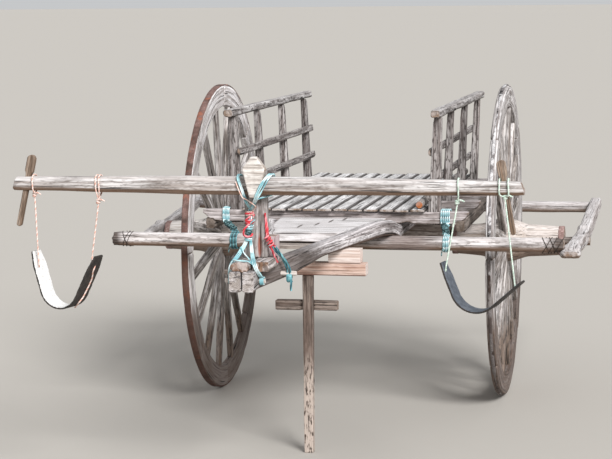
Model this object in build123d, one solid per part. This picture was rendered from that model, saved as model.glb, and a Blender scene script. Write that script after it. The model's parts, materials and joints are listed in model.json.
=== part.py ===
from build123d import *
import os
from math import atan2, cos, degrees, hypot, sin, sqrt

# Wooden two-wheeled bullock cart, parked with its tongue on a timber prop.
# Lengths in millimetres, angles in degrees. While it is laid out, X is to the right, Y to the rear,
# Z up, with the axle above X = Y = 0 and the ground at Z = 0. The tongue points to the front, -Y.
# Heights are given above the axle or above the yoke's middle, so they follow the wheels.

# Wheels
WHEEL_DIAMETER = 1450.0
TRACK = 1354.0                # between the middles of the two rims
RIM_THICK = 36.0              # felloe, across the tread
RIM_DEEP = 98.0               # felloe, along the spokes
FELLOE_COUNT = 8
FELLOE_JOINT = 1.2            # open joint between two felloes
TYRE_THICK = 6.0
TYRE_LEFT_WIDE = 30.0
TYRE_RIGHT_WIDE = 15.0        # the right wheel keeps only a narrow strip
SPOKE_COUNT = 16
SPOKE_ROOT_WIDE = 50.0        # spoke at the nave, around the wheel
SPOKE_ROOT_THICK = 34.0       # spoke at the nave, along the axle
SPOKE_TIP_WIDE = 38.0
SPOKE_TIP_THICK = 27.0
SPOKE_BEVEL = 6.0
SPOKE_SEAT = 2.0              # how deep the spokes' shoulders are let into the nave
TENON_WIDE = 22.0             # round the wheel, at both ends of a spoke
TENON_THICK = 20.0
RIM_TENON_LONG = 70.0
NAVE_RADIUS = 98.0            # at the spokes
NAVE_NECK_RADIUS = 76.0       # where the swelling ends
NAVE_END_RADIUS = 68.0
NAVE_IN = 244.0               # rim middle to the nave's inner end
NAVE_OUT = 276.0              # rim middle to the nave's outer end
NAVE_SWELL = 105.0            # half the length of the swelling
NAVE_FLAT = 38.0              # half the flat that the spokes stand on
BAND_WIDE = 26.0
BAND_THICK = 5.0
BAND_SEAT_RADIUS = 64.0
NAVE_MORTISE_FLOOR = 46.0     # radius at which the spokes' feet end

# Axle
ARM_RADIUS = 20.0
ARM_CLEAR = 0.5               # running clearance round the arm in the nave
ARM_STAND_OUT = 4.0           # arm beyond the outrigger
ARM_ROOT = 40.0               # how deep the arm is let into the beam
AXLE_BEAM_THICK = 90.0
AXLE_BEAM_BELOW = 46.0        # below the arm's axis
AXLE_BEAM_CLEAR = 9.0         # from the beam's end to the nave
AXLE_BEAM_BEVEL = 8.0

# Round bars across the cart, in front of and behind the wheels
FRONT_BAR_RADIUS = 31.0
FRONT_BAR_CLEAR = 74.0        # from the wheels to the bar
FRONT_BAR_REACH = {"left": 291.0, "right": 329.0}   # outside the rims' middles
REAR_BAR_RADIUS = 29.0
REAR_BAR_CLEAR = 166.0
REAR_BAR_REACH = {"left": 355.0, "right": 353.0}

# Cross bearers under the floor, each carrying one pair of panel posts
BEARER_RISE = 155.0           # underside above the axle
BEARER_SHARES = (0.0, 0.3035, 0.6454, 1.0)          # along the cart, from the first to the last
BEARER_BEHIND_BAR = 130.0     # first bearer behind the front bar
BEARER_BEFORE_BAR = 55.0      # last bearer before the rear bar
BEARER_INSIDE_RIM = 71.0      # from a bearer's end to the rim
BEARER_HIGH = 50.0
BEARER_DEEP = 62.0
BEARER_TAPER = 62.0           # how far the underside is cut away at each end
BEARER_TIP = 16.0             # height left at the tip
NOTCH_LEFT = 306.0            # old notch under the first bearer
NOTCH_RIGHT = 341.0
NOTCH_HIGH = 16.0
SILL_INSET = 57.0             # sill's inner face from the bearers' ends
SILL_WIDE = 44.0
SILL_HIGH = 52.0
SILL_LAP = 16.0               # how deep the sills are notched for the bearers
SILL_OVERHANG = 34.0
SILL_BEVEL = 5.0

# Shafts, from the tongue's tip to the bed's rear. The mid line wanders to the left at the tip.
# columns: share of the way from the front bar to the tip, mid line x, shaft centre from the mid line,
# centre above the axle, width, height, bevel
SHAFT_HIGH = 66.0
SHAFT_WIDE = 62.0
SHAFT_BEVEL = 12.0
TIP_BEVEL = 5.0
TONGUE_STATIONS = (
    (1.0, -45.0, 25.0, 115.0, 45.0, 75.0, TIP_BEVEL),
    (0.95, -43.0, 27.0, 121.0, 46.0, 76.0, TIP_BEVEL),
    (0.796, -36.0, 88.0, 139.0, SHAFT_WIDE, 78.0, SHAFT_BEVEL),
    (0.524, -24.0, 124.0, 146.0, 59.0, 57.0, SHAFT_BEVEL),
    (0.252, -12.0, 180.0, 149.0, 60.0, 62.0, SHAFT_BEVEL),
    (0.095, -5.0, 239.0, 159.0, SHAFT_WIDE, SHAFT_HIGH, SHAFT_BEVEL),
    (0.0, 0.0, 257.0, 146.0, SHAFT_WIDE, SHAFT_HIGH, SHAFT_BEVEL),
)
SHAFT_OFF_FRONT = 265.0       # shaft centre from the mid line at the first bearer
SHAFT_OFF_REAR = 270.0
SHAFT_LEVEL_AHEAD = 40.0      # the shafts run level from this far ahead of the first bearer
SHAFT_BEHIND_BAR = 80.0       # shafts' rear ends behind the rear bar
TIP_AHEAD = 100.0             # tongue's tip ahead of the yoke

# Floor
SLAT_COUNT = 12
SLAT_GAP = 4.5
SLAT_THICK = 14.0
SLAT_CLEAR = 5.0              # from the outer slats to the panel posts
SLAT_RAGGED = 9.0             # the slats' ends don't line up, by this much and in these waves
RAGGED_FRONT = 2.4
RAGGED_REAR = 1.7
FLOOR_AHEAD = 62.0            # slats beyond the first bearer's middle
FLOOR_BEHIND = 120.0          # slats beyond the last bearer's middle
POLE_RADIUS = 18.0
POLE_INSET = 46.0             # pole on the floor, from the panel's foot
POLE_AHEAD = 45.0             # pole beyond the first bearer
POLE_SHORT = 30.0             # pole short of the floor's rear

# Side panels
PANEL_INSET = 164.0           # posts' middles from the bearers' ends
PANEL_FLARE = 4.0
POST_HIGH = 410.0             # above the bearers
POST_TENON = 6.0              # post through the bearer
POST_DEEP = 42.0              # along the cart
POST_THICK_BASE = 44.0
POST_THICK_TOP = 28.0
FRONT_POST_BASE = 60.0
FRONT_POST_TOP = 34.0
POST_NARROW = 8.0             # how much narrower along the cart a post is at its top
RAIL_THICK = 17.0
RAIL_HIGH = 34.0
RAIL_BEVEL = 3.0
RAIL_HEIGHTS = (118.0, 255.0)  # rail middles above the bearers
RAIL_FRONT = {"left": 40.0, "right": 8.0}
RAIL_REAR = 60.0
CAP_WIDE = 46.0
CAP_HIGH = 36.0
CAP_BEVEL = 7.0
CAP_FRONT = 92.0              # cap rail beyond the first post
CAP_REAR = 130.0              # cap rail beyond the last post

# Outriggers: hewn side timbers outside the wheels, notched over the arms' outer ends
# columns: place along the cart, with -1 at the front bar, 0 at the axle and 1 at the rear bar,
# middle outside the nave's end, width, underside and top above the axle
OUTRIGGERS = {
    "left": (
        (-1.0, -61.0, 50.0, 50.0, 90.0),
        (-0.54, -14.0, 50.0, 8.0, 60.0),
        (-0.096, 32.0, 50.0, -9.0, 60.0),
        (0.087, 33.0, 50.0, -10.0, 60.0),
        (1.13, 100.0, 50.0, 45.0, 90.0),
    ),
    "right": (
        (-1.057, 82.0, 66.0, 38.0, 64.0),
        (-1.02, 79.0, 92.0, 29.0, 75.0),
        (-0.95, 79.0, 88.0, 27.0, 75.0),
        (-0.77, 80.0, 57.0, 18.0, 75.0),
        (0.0, 87.0, 56.0, -10.0, 75.0),
        (1.13, 93.0, 56.0, 46.0, 100.0),
    ),
}
OUTRIGGER_BEVEL = 10.0

# Yoke and its hooked post
YOKE_Y = -2200.0
YOKE_RISE = 454.0             # yoke's middle above the axle
YOKE_HALF_LEFT = 938.0
YOKE_HALF_RIGHT = 956.0
YOKE_MID = 66.0               # thickness in the middle
YOKE_END = 50.0               # thickness at the ends
YOKE_FULL = (-250.0, 150.0)   # the yoke keeps its full thickness between these
YOKE_BEVEL = 16.0
YOKE_END_SLANT = 22.0
HOOK_CLEAR = 0.3              # yoke in its hook
HOOK_THICK = 36.0             # the hook's plate in front and its post behind
POST_X = -20.0
PLATE_X = -4.0                # the head plate stands a little to the right of its post
POST_WIDE = 84.0
HEAD_ABOVE = 109.0            # head's top above the yoke's middle
SHOULDER_ABOVE = 64.0
HEAD_BELOW = 39.0             # head plate's lower end below the yoke's middle
HOOK_ABOVE = 52.0             # top of the post behind the yoke, and of the bridge over it
HOOK_WIDE = 48.0              # bridge
HEAD_TOP_WIDE = 20.0
HEAD_BOTTOM_WIDE = 34.0
CHOCK_LEFT = -45.0            # block wedged behind the post
CHOCK_RIGHT = 48.0
CHOCK_DEEP = 60.0
CHOCK_HIGH = 76.0             # above the board under the post

# Yoke pins, a paddle above the yoke and a stick below it
# columns: side, inset of the top and of the bottom from the yoke's end, top and bottom above its middle,
# paddle's width, stick's width
YOKE_PINS = (
    ("left", 87.0, 29.0, 105.0, -159.0, 32.0, 20.0),
    ("right", 87.0, 38.0, 99.0, -165.0, 34.0, 18.0),
)
PIN_THICK = 20.0
PIN_ROUND = 0.45              # corner radius of paddle and stick, as a share of their width

# Board and half log under the post, on top of the tip. columns: left x, right x, ahead of the yoke, bevel
TIP_BOARDS = ((-88.0, -16.0, 95.0, 12.0), (-15.0, 50.0, 70.0, 2.0))
TIP_BOARD_THICK = 26.0
TIP_BOARD_SINK = 12.0         # how far they are let down onto the shafts
TIP_BOARD_REAR = 95.0         # behind the yoke
PEG_RADIUS = 9.0
# columns: y behind the yoke, left end x, right end x, drop below the shafts' centre line
TONGUE_PEGS = ((-35.0, -121.0, 30.0, 7.0), (120.0, -160.0, 112.0, 12.0))

# Boards between the shafts. The upper one lies on two battens, the lower one is short and let into the shafts
BOARD_SHARE = 0.3095          # upper board's front, as a share of the way to the tip
BOARD_RISE = 136.0            # its underside above the axle
BOARD_THICK = 42.0
BOARD_REAR_GAP = 4.0          # from its rear to the first bearer
STRIP_AHEAD = 84.0            # lower board's front, ahead of the upper board's
STRIP_CLEAR = 6.0             # from its rear to the front batten
STRIP_THICK = 14.0
STRIP_DROP = 4.0              # lower board's top below the upper board
STRIP_TENON = 8.0
BATTEN_INSET = 90.0           # from the upper board's ends
BATTEN_HIGH = 18.0
BATTEN_DEEP = 40.0
BATTEN_TENON = 14.0

# Neck straps
# columns: side, middle from the yoke's end, bottom below the yoke, reach to the left and right end,
# left and right end below the yoke, bend radius, turn about the upright, cords' x on the yoke from the middle
NECK_STRAPS = (
    ("left", 198.0, 462.0, 124.0, 152.0, 254.0, 262.0, 83.0, -13.0, (-107.0, 137.0)),
    ("right", 163.0, 443.0, 136.0, 164.0, 269.0, 329.0, 95.0, -10.0, (-76.0, 75.0)),
)
STRAP_THICK = 8.0
STRAP_BAND = 86.0
STRAP_TIP = 58.0
STRAP_TAPER = 50.0
STRAP_HOLE = 42.0             # cord's hole below the end
CORD_RADIUS = 3.5
CORD_CLEAR = 0.5              # cord from the strap's face

# Lashings
ROPE_RADIUS = 6.0
# columns: side, inset from the bearer's end, width
LASHINGS = (("left", 88.0, 28.0), ("right", 87.0, 40.0))
YOKE_ROPE_XS = (-76.0, 46.0)  # loops over the yoke
KNOT_RADIUS = 13.0
KNOT_TOP = 89.0               # below the yoke's middle
KNOT_BOTTOM = 194.0
KNOT_X = -30.0

# Prop under the tongue
PROP_AHEAD = 507.0            # ahead of the front bar
PROP_X = 6.0
PROP_POST_TOP = 42.0
PROP_POST_FOOT = 38.0
PROP_BEAM_LEFT = -35.0
PROP_BEAM_RIGHT = 249.0
PROP_BEAM_RISE = 11.0         # beam's underside above the axle
PROP_BEAM_HIGH = 52.0
PROP_BEAM_DEEP = 66.0
PROP_BEAM_BEVEL = 5.0
PROP_BLOCK_LEFT = 94.0
PROP_BLOCK_RIGHT = 227.0
PROP_BLOCK_DEEP = 58.0
PROP_BLOCK_BED = 3.0          # how deep the shaft has bedded into the block
CROSS_LEFT = -132.0
CROSS_RIGHT = 126.0
CROSS_BELOW = 138.0           # cross board's underside below the axle
CROSS_HIGH = 41.0
CROSS_THICK = 18.0

# Worked out from the sizes above
AXLE_Z = WHEEL_DIAMETER / 2
RIM_OUT = AXLE_Z - TYRE_THICK
RIM_IN = RIM_OUT - RIM_DEEP
RIM_MIDDLE = TRACK / 2
NAVE_END = RIM_MIDDLE + NAVE_OUT
AXLE_BEAM_HALF = RIM_MIDDLE - NAVE_IN - AXLE_BEAM_CLEAR
BEARER_BOTTOM = AXLE_Z + BEARER_RISE
FLOOR_BASE = BEARER_BOTTOM + BEARER_HIGH
BEARER_HALF = RIM_MIDDLE - RIM_THICK / 2 - BEARER_INSIDE_RIM
PANEL_X = BEARER_HALF - PANEL_INSET
SILL_INNER = BEARER_HALF - SILL_INSET
SILL_TOP = BEARER_BOTTOM + SILL_LAP
SHAFT_BOTTOM = BEARER_BOTTOM - SHAFT_HIGH
FRONT_BAR_Y = -(AXLE_Z + FRONT_BAR_CLEAR + FRONT_BAR_RADIUS)
REAR_BAR_Y = AXLE_Z + REAR_BAR_CLEAR + REAR_BAR_RADIUS
FRONT_BAR_Z = AXLE_Z + TONGUE_STATIONS[-1][3] - SHAFT_HIGH / 2 - FRONT_BAR_RADIUS
REAR_BAR_Z = SHAFT_BOTTOM - REAR_BAR_RADIUS
FIRST_BEARER = FRONT_BAR_Y + BEARER_BEHIND_BAR
LAST_BEARER = REAR_BAR_Y - BEARER_BEFORE_BAR
BEARER_YS = tuple(FIRST_BEARER + share * (LAST_BEARER - FIRST_BEARER) for share in BEARER_SHARES)
FLOOR_FRONT = FIRST_BEARER - FLOOR_AHEAD
FLOOR_REAR = LAST_BEARER + FLOOR_BEHIND
SLAT_PITCH = 2 * (PANEL_X - POST_THICK_TOP / 2 - SLAT_CLEAR) / SLAT_COUNT
POLE_X = PANEL_X - POLE_INSET
TIP_Y = YOKE_Y - TIP_AHEAD
YOKE_Z = AXLE_Z + YOKE_RISE
POST_FRONT = YOKE_Y + YOKE_MID / 2 + HOOK_CLEAR
POST_REAR = POST_FRONT + HOOK_THICK
PROP_Y = FRONT_BAR_Y - PROP_AHEAD
PROP_BEAM_BOTTOM = AXLE_Z + PROP_BEAM_RISE
SIDES = {"left": -1, "right": 1}


def along_tongue(share):
    """Y of a place on the tongue, from 0 at the front bar to 1 at the tip."""
    return FRONT_BAR_Y + share * (TIP_Y - FRONT_BAR_Y)


# The shafts' stations. columns: y, mid line x, shaft centre from it, centre z, width, height, bevel
SHAFT_STATIONS = [(along_tongue(share), mid, off, AXLE_Z + rise, wide, high, bevel)
                  for share, mid, off, rise, wide, high, bevel in TONGUE_STATIONS]
for level_y, level_off in ((FIRST_BEARER - SHAFT_LEVEL_AHEAD, SHAFT_OFF_FRONT),
                           (REAR_BAR_Y + SHAFT_BEHIND_BAR, SHAFT_OFF_REAR)):
    level_z = BEARER_BOTTOM - SHAFT_HIGH / 2
    SHAFT_STATIONS.append((level_y, 0.0, level_off, level_z, SHAFT_WIDE, SHAFT_HIGH, SHAFT_BEVEL))

nodes = {}


def across(x, y, z):
    """Plane square to X, for the sections of timbers that lie across the cart."""
    return Plane((x, y, z), x_dir=(0, 1, 0), z_dir=(1, 0, 0))


def lengthwise(x, y, z):
    """Plane square to Y, for the sections of timbers that lie along the cart."""
    return Plane((x, y, z), x_dir=(1, 0, 0), z_dir=(0, -1, 0))


def hewn(wide, high, bevel):
    """Section of an axe-hewn timber: a rectangle with its corners taken off."""
    return chamfer(Rectangle(wide, high).vertices(), bevel)


def block(x0, x1, y0, y1, z0, z1, bevel=0.0):
    """Sawn block between two corners, its long edges eased."""
    solid = Pos((x0 + x1) / 2, (y0 + y1) / 2, (z0 + z1) / 2) * Box(x1 - x0, y1 - y0, z1 - z0)
    if bevel:
        sizes = {Axis.X: x1 - x0, Axis.Y: y1 - y0, Axis.Z: z1 - z0}
        grain = max(sizes, key=sizes.get)
        solid = chamfer(solid.edges().filter_by(grain), bevel)
    return solid


def rod(start, end, radius):
    """Straight round stick or strand from one point to another."""
    start, end = Vector(*start), Vector(*end)
    along = Plane(origin=start, z_dir=end - start)
    return extrude(along * Circle(radius), (end - start).length)


def biggest(shape):
    """The largest of the solids that a cut leaves."""
    return max(shape.solids(), key=lambda solid: solid.volume)


def shaft_at(side, y):
    """Centre x, centre z, width and height of a shaft at one place along it."""
    for front, rear in zip(SHAFT_STATIONS, SHAFT_STATIONS[1:]):
        if front[0] <= y <= rear[0]:
            part = (y - front[0]) / (rear[0] - front[0])
            mid, off, z, wide, high = (a + (b - a) * part for a, b in zip(front[1:-1], rear[1:-1]))
            return mid + SIDES[side] * off, z, wide, high
    raise ValueError("no shaft at this y")


def between_shafts(front, rear, bottom, thick, tenon=0.0):
    """Board that fills the space between the shafts, its sides along their inner faces."""
    ys = [front] + [station[0] for station in SHAFT_STATIONS if front < station[0] < rear] + [rear]
    rims = {}
    for side, s in SIDES.items():
        rims[side] = []
        for y in ys:
            x, _, wide, _ = shaft_at(side, y)
            rims[side].append((x - s * (wide / 2 - tenon), y))
    plan = make_face(Polyline(*rims["left"], *reversed(rims["right"]), close=True))
    return Pos(0, 0, bottom) * extrude(plan, thick)


def make_nave():
    """Barrel nave about the X axis, its outer end towards +x, bored for the arm."""
    outline = Polyline(
        (-NAVE_IN, 0), (-NAVE_IN, BAND_SEAT_RADIUS), (-NAVE_IN + BAND_WIDE, BAND_SEAT_RADIUS),
        (-NAVE_IN + BAND_WIDE, NAVE_END_RADIUS), (-NAVE_SWELL, NAVE_NECK_RADIUS),
        (-NAVE_FLAT, NAVE_RADIUS), (NAVE_FLAT, NAVE_RADIUS), (NAVE_SWELL, NAVE_NECK_RADIUS),
        (NAVE_OUT - BAND_WIDE, NAVE_END_RADIUS), (NAVE_OUT - BAND_WIDE, BAND_SEAT_RADIUS),
        (NAVE_OUT, BAND_SEAT_RADIUS), (NAVE_OUT, 0), close=True,
    )
    nave = revolve(Plane.XY * make_face(outline), Axis.X)
    return nave - Rot(0, 90, 0) * Cylinder(ARM_RADIUS + ARM_CLEAR, 4 * NAVE_OUT)


def make_spoke():
    """Tapered spoke standing up from the X axis, with a tenon at each end."""
    shoulder = Plane.XY.offset(NAVE_RADIUS - SPOKE_SEAT)
    rim = Plane.XY.offset(RIM_IN)
    body = loft([
        shoulder * hewn(SPOKE_ROOT_THICK, SPOKE_ROOT_WIDE, SPOKE_BEVEL),
        rim * hewn(SPOKE_TIP_THICK, SPOKE_TIP_WIDE, SPOKE_BEVEL),
    ], ruled=True)
    tenon = Rectangle(TENON_THICK, TENON_WIDE)
    foot = extrude(shoulder * tenon, NAVE_MORTISE_FLOOR - NAVE_RADIUS + SPOKE_SEAT)
    return body + foot + extrude(rim * tenon, RIM_TENON_LONG)


def make_hoop(radius, thick, wide):
    """Plain iron hoop about the X axis, from its inner radius."""
    return Rot(0, 90, 0) * (Cylinder(radius + thick, wide) - Cylinder(radius, wide))


def make_wheels():
    """Spoked wheels: nave, spokes tenoned into nave and felloes, iron bands and tyre."""
    spoke = make_spoke()
    spokes = [Rot(360.0 / SPOKE_COUNT * (i + 0.5), 0, 0) * spoke for i in range(SPOKE_COUNT)]
    joint = Pos(0, 0, (RIM_OUT + RIM_IN) / 2) * Box(2 * RIM_THICK, FELLOE_JOINT, 2 * RIM_DEEP)
    joints = [Rot(360.0 / FELLOE_COUNT * i, 0, 0) * joint for i in range(FELLOE_COUNT)]
    felloes = make_hoop(RIM_IN, RIM_DEEP, RIM_THICK) - joints - spokes
    nave = make_nave() - spokes
    band = make_hoop(BAND_SEAT_RADIUS, BAND_THICK, BAND_WIDE)
    bands = [Pos(x, 0, 0) * band for x in (-NAVE_IN + BAND_WIDE / 2, NAVE_OUT - BAND_WIDE / 2)]
    for side, tyre_wide in (("left", TYRE_LEFT_WIDE), ("right", TYRE_RIGHT_WIDE)):
        s = SIDES[side]
        place = Pos(s * TRACK / 2, 0, AXLE_Z) * Rot(0, 0, 90 - s * 90)
        tyre = make_hoop(RIM_OUT, TYRE_THICK, tyre_wide)
        for name, solids in (("nave", nave.solids()), ("nave_bands", bands), ("spokes", spokes),
                             ("felloes", felloes.solids()), ("tyre", [tyre])):
            nodes[f"{name}_{side}"] = [place * solid for solid in solids]


def make_shafts():
    """Two bent logs that meet at the tongue's tip and run back under the floor."""
    for side in SIDES:
        sections = []
        for y, *_, bevel in SHAFT_STATIONS:
            x, z, wide, high = shaft_at(side, y)
            sections.append(lengthwise(x, y, z) * hewn(wide, high, bevel))
        nodes[f"shaft_{side}"] = loft(sections, ruled=True)


def make_axle():
    """Square axle beam under the shafts, with a round arm at each end."""
    beam = block(-AXLE_BEAM_HALF, AXLE_BEAM_HALF, -AXLE_BEAM_THICK / 2, AXLE_BEAM_THICK / 2,
                 AXLE_Z - AXLE_BEAM_BELOW, SHAFT_BOTTOM, AXLE_BEAM_BEVEL)
    for side, s in SIDES.items():
        _, out, wide, _, _ = min(OUTRIGGERS[side], key=lambda row: abs(row[0]))
        tip = s * (NAVE_END + out + wide / 2 + ARM_STAND_OUT)
        beam += rod((s * (AXLE_BEAM_HALF - ARM_ROOT), 0, AXLE_Z), (tip, 0, AXLE_Z), ARM_RADIUS)
    nodes["axle"] = beam


def make_bars():
    """Round poles across the cart, in front of and behind the wheels."""
    table = (
        ("front_bar", FRONT_BAR_REACH, FRONT_BAR_Y, FRONT_BAR_Z, FRONT_BAR_RADIUS),
        ("rear_bar", REAR_BAR_REACH, REAR_BAR_Y, REAR_BAR_Z, REAR_BAR_RADIUS),
    )
    for name, reach, y, z, radius in table:
        left, right = -RIM_MIDDLE - reach["left"], RIM_MIDDLE + reach["right"]
        nodes[name] = rod((left, y, z), (right, y, z), radius)
        for side in SIDES:
            nodes[f"shaft_{side}"] -= nodes[name]


def make_outriggers():
    """Hewn timbers outside the wheels: notched over the arms, their ends at the two bars."""
    for side, s in SIDES.items():
        sections = []
        for share, out, wide, low, high in OUTRIGGERS[side]:
            y = share * (REAR_BAR_Y if share > 0 else -FRONT_BAR_Y)
            middle = AXLE_Z + (low + high) / 2
            place = lengthwise(s * (NAVE_END + out), y, middle)
            sections.append(place * hewn(wide, high - low, OUTRIGGER_BEVEL))
        timber = loft(sections, ruled=True)
        nodes[f"outrigger_{side}"] = biggest(timber - [nodes["axle"], nodes["front_bar"], nodes["rear_bar"]])


def make_bearers():
    """Cross bearers on the shafts, tapered underneath at their ends, and the sills below them."""
    bottom, top = BEARER_BOTTOM, FLOOR_BASE
    run = BEARER_HALF - BEARER_TAPER
    for number, y in enumerate(BEARER_YS, 1):
        outline = Polyline(
            (-BEARER_HALF, top), (-BEARER_HALF, top - BEARER_TIP), (-run, bottom),
            (run, bottom), (BEARER_HALF, top - BEARER_TIP), (BEARER_HALF, top), close=True,
        )
        nodes[f"bearer_{number}"] = Pos(0, y, 0) * extrude(
            Plane.XZ * make_face(outline), BEARER_DEEP / 2, both=True)
    notch_peak = ((NOTCH_LEFT + NOTCH_RIGHT) / 2, bottom + NOTCH_HIGH)
    notch = make_face(Polyline((NOTCH_LEFT, bottom), notch_peak, (NOTCH_RIGHT, bottom), close=True))
    nodes["bearer_1"] -= Pos(0, FIRST_BEARER, 0) * extrude(Plane.XZ * notch, BEARER_DEEP, both=True)
    front, rear = FIRST_BEARER - SILL_OVERHANG, LAST_BEARER + SILL_OVERHANG
    for side, s in SIDES.items():
        x = s * (SILL_INNER + SILL_WIDE / 2)
        sill = block(x - SILL_WIDE / 2, x + SILL_WIDE / 2, front, rear,
                     SILL_TOP - SILL_HIGH, SILL_TOP, SILL_BEVEL)
        nodes[f"sill_{side}"] = sill - [nodes[f"bearer_{i + 1}"] for i in range(len(BEARER_YS))]


def make_floor():
    """Thin boards laid lengthwise on the bearers, and a pole that holds them down at the right."""
    slats = []
    wide = SLAT_PITCH - SLAT_GAP
    for i in range(SLAT_COUNT):
        x = (i - (SLAT_COUNT - 1) / 2) * SLAT_PITCH
        front = FLOOR_FRONT + SLAT_RAGGED * sin(RAGGED_FRONT * i)
        rear = FLOOR_REAR + 2 * SLAT_RAGGED * cos(RAGGED_REAR * i)
        slats.append(block(x - wide / 2, x + wide / 2, front, rear, FLOOR_BASE, FLOOR_BASE + SLAT_THICK))
    nodes["floor_slats"] = slats
    z = FLOOR_BASE + SLAT_THICK + POLE_RADIUS
    front, rear = FIRST_BEARER - POLE_AHEAD, FLOOR_REAR - POLE_SHORT
    nodes["floor_pole"] = rod((POLE_X, front, z), (POLE_X, rear, z), POLE_RADIUS)


def make_panel(side):
    """Flared side panel: posts tenoned through the bearers, rails inside them, a cap rail on top."""
    s = SIDES[side]
    # Drawn upright with the bearers' top at z = 0 and the outer side towards the wheel, then leaned over
    lean = Pos(s * PANEL_X, 0, FLOOR_BASE) * Rot(0, s * PANEL_FLARE, 0)
    # The inner face stays plumb in the panel, so that the rails lie flat on every post
    inner = -s * POST_THICK_TOP / 2
    posts = []
    for i, y in enumerate(BEARER_YS):
        base = FRONT_POST_BASE if i == 0 else POST_THICK_BASE
        top = FRONT_POST_TOP if i == 0 else POST_THICK_TOP
        foot = Plane((inner + s * base / 2, y, -BEARER_HIGH - POST_TENON))
        head = Plane((inner + s * top / 2, y, POST_HIGH))
        posts.append(loft([foot * Rectangle(base, POST_DEEP),
                           head * Rectangle(top, POST_DEEP - POST_NARROW)], ruled=True))
    rail_x = sorted((inner, inner - s * RAIL_THICK))
    rails = [
        block(*rail_x, FIRST_BEARER - RAIL_FRONT[side], LAST_BEARER + RAIL_REAR,
              height - RAIL_HIGH / 2, height + RAIL_HIGH / 2, RAIL_BEVEL)
        for height in RAIL_HEIGHTS
    ]
    cap = block(-CAP_WIDE / 2, CAP_WIDE / 2, FIRST_BEARER - CAP_FRONT, LAST_BEARER + CAP_REAR,
                POST_HIGH, POST_HIGH + CAP_HIGH, CAP_BEVEL)
    nodes[f"panel_posts_{side}"] = [lean * post for post in posts]
    nodes[f"panel_rails_{side}"] = [lean * rail for rail in rails]
    nodes[f"panel_cap_{side}"] = lean * cap
    for number in range(1, len(BEARER_YS) + 1):
        nodes[f"bearer_{number}"] -= nodes[f"panel_posts_{side}"][number - 1]


def make_tongue():
    """Boards and battens between the shafts, the pegs through the tip and the boards on top of it."""
    shafts = [nodes[f"shaft_{side}"] for side in SIDES]
    front, rear = along_tongue(BOARD_SHARE), FIRST_BEARER - BEARER_DEEP / 2 - BOARD_REAR_GAP
    bottom = AXLE_Z + BOARD_RISE
    nodes["tongue_board_1"] = biggest(between_shafts(front, rear, bottom, BOARD_THICK) - shafts)
    strip_rear = front + BATTEN_INSET - BATTEN_DEEP / 2 - STRIP_CLEAR
    strip_bottom = bottom - STRIP_DROP - STRIP_THICK
    strip = between_shafts(front - STRIP_AHEAD, strip_rear, strip_bottom, STRIP_THICK, STRIP_TENON)
    nodes["tongue_board_2"] = strip
    battens = []
    for y in (front + BATTEN_INSET, rear - BATTEN_INSET):
        left, right = shaft_at("left", y), shaft_at("right", y)
        battens.append(block(left[0] + left[2] / 2 - BATTEN_TENON, right[0] - right[2] / 2 + BATTEN_TENON,
                             y - BATTEN_DEEP / 2, y + BATTEN_DEEP / 2, bottom - BATTEN_HIGH, bottom))
    for number, batten in enumerate(battens, 1):
        nodes[f"tongue_battens_{number}"] = batten
    pegs = []
    for behind, left, right, drop in TONGUE_PEGS:
        y = YOKE_Y + behind
        z = shaft_at("right", y)[1] - drop
        pegs.append(rod((left, y, z), (right, y, z), PEG_RADIUS))
    nodes["tongue_pegs"] = pegs
    for side in SIDES:
        nodes[f"shaft_{side}"] -= [strip, *battens, *pegs]
    _, z, _, high = shaft_at("right", YOKE_Y)
    foot = z + high / 2 + TIP_BOARD_THICK
    boards = []
    for left, right, ahead, bevel in TIP_BOARDS:
        board = block(left, right, YOKE_Y - ahead, YOKE_Y + TIP_BOARD_REAR,
                      foot - TIP_BOARD_THICK - TIP_BOARD_SINK, foot, bevel)
        boards.append(biggest(board - [nodes[f"shaft_{side}"] for side in SIDES]))
    nodes["tongue_cap"] = boards
    _, z, _, high = shaft_at("right", POST_REAR)
    chock = block(CHOCK_LEFT, CHOCK_RIGHT, POST_REAR, POST_REAR + CHOCK_DEEP, z + high / 2, foot + CHOCK_HIGH)
    nodes["post_chock"] = biggest(chock - [*boards, *(nodes[f"shaft_{side}"] for side in SIDES)])
    return foot


def yoke_size(x):
    """Thickness of the yoke at one place along it."""
    left, right = YOKE_FULL
    if x < left:
        part = (left - x) / (YOKE_HALF_LEFT + left)
    else:
        part = max(0.0, x - right) / (YOKE_HALF_RIGHT - right)
    return YOKE_MID + (YOKE_END - YOKE_MID) * part


def yoke_section(x, grow=0.0):
    """Section of the yoke at one place along it, or of what is wound round it there."""
    size = yoke_size(x)
    return across(x, YOKE_Y, YOKE_Z) * hewn(size + 2 * grow, size + 2 * grow, YOKE_BEVEL * size / YOKE_MID)


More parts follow.
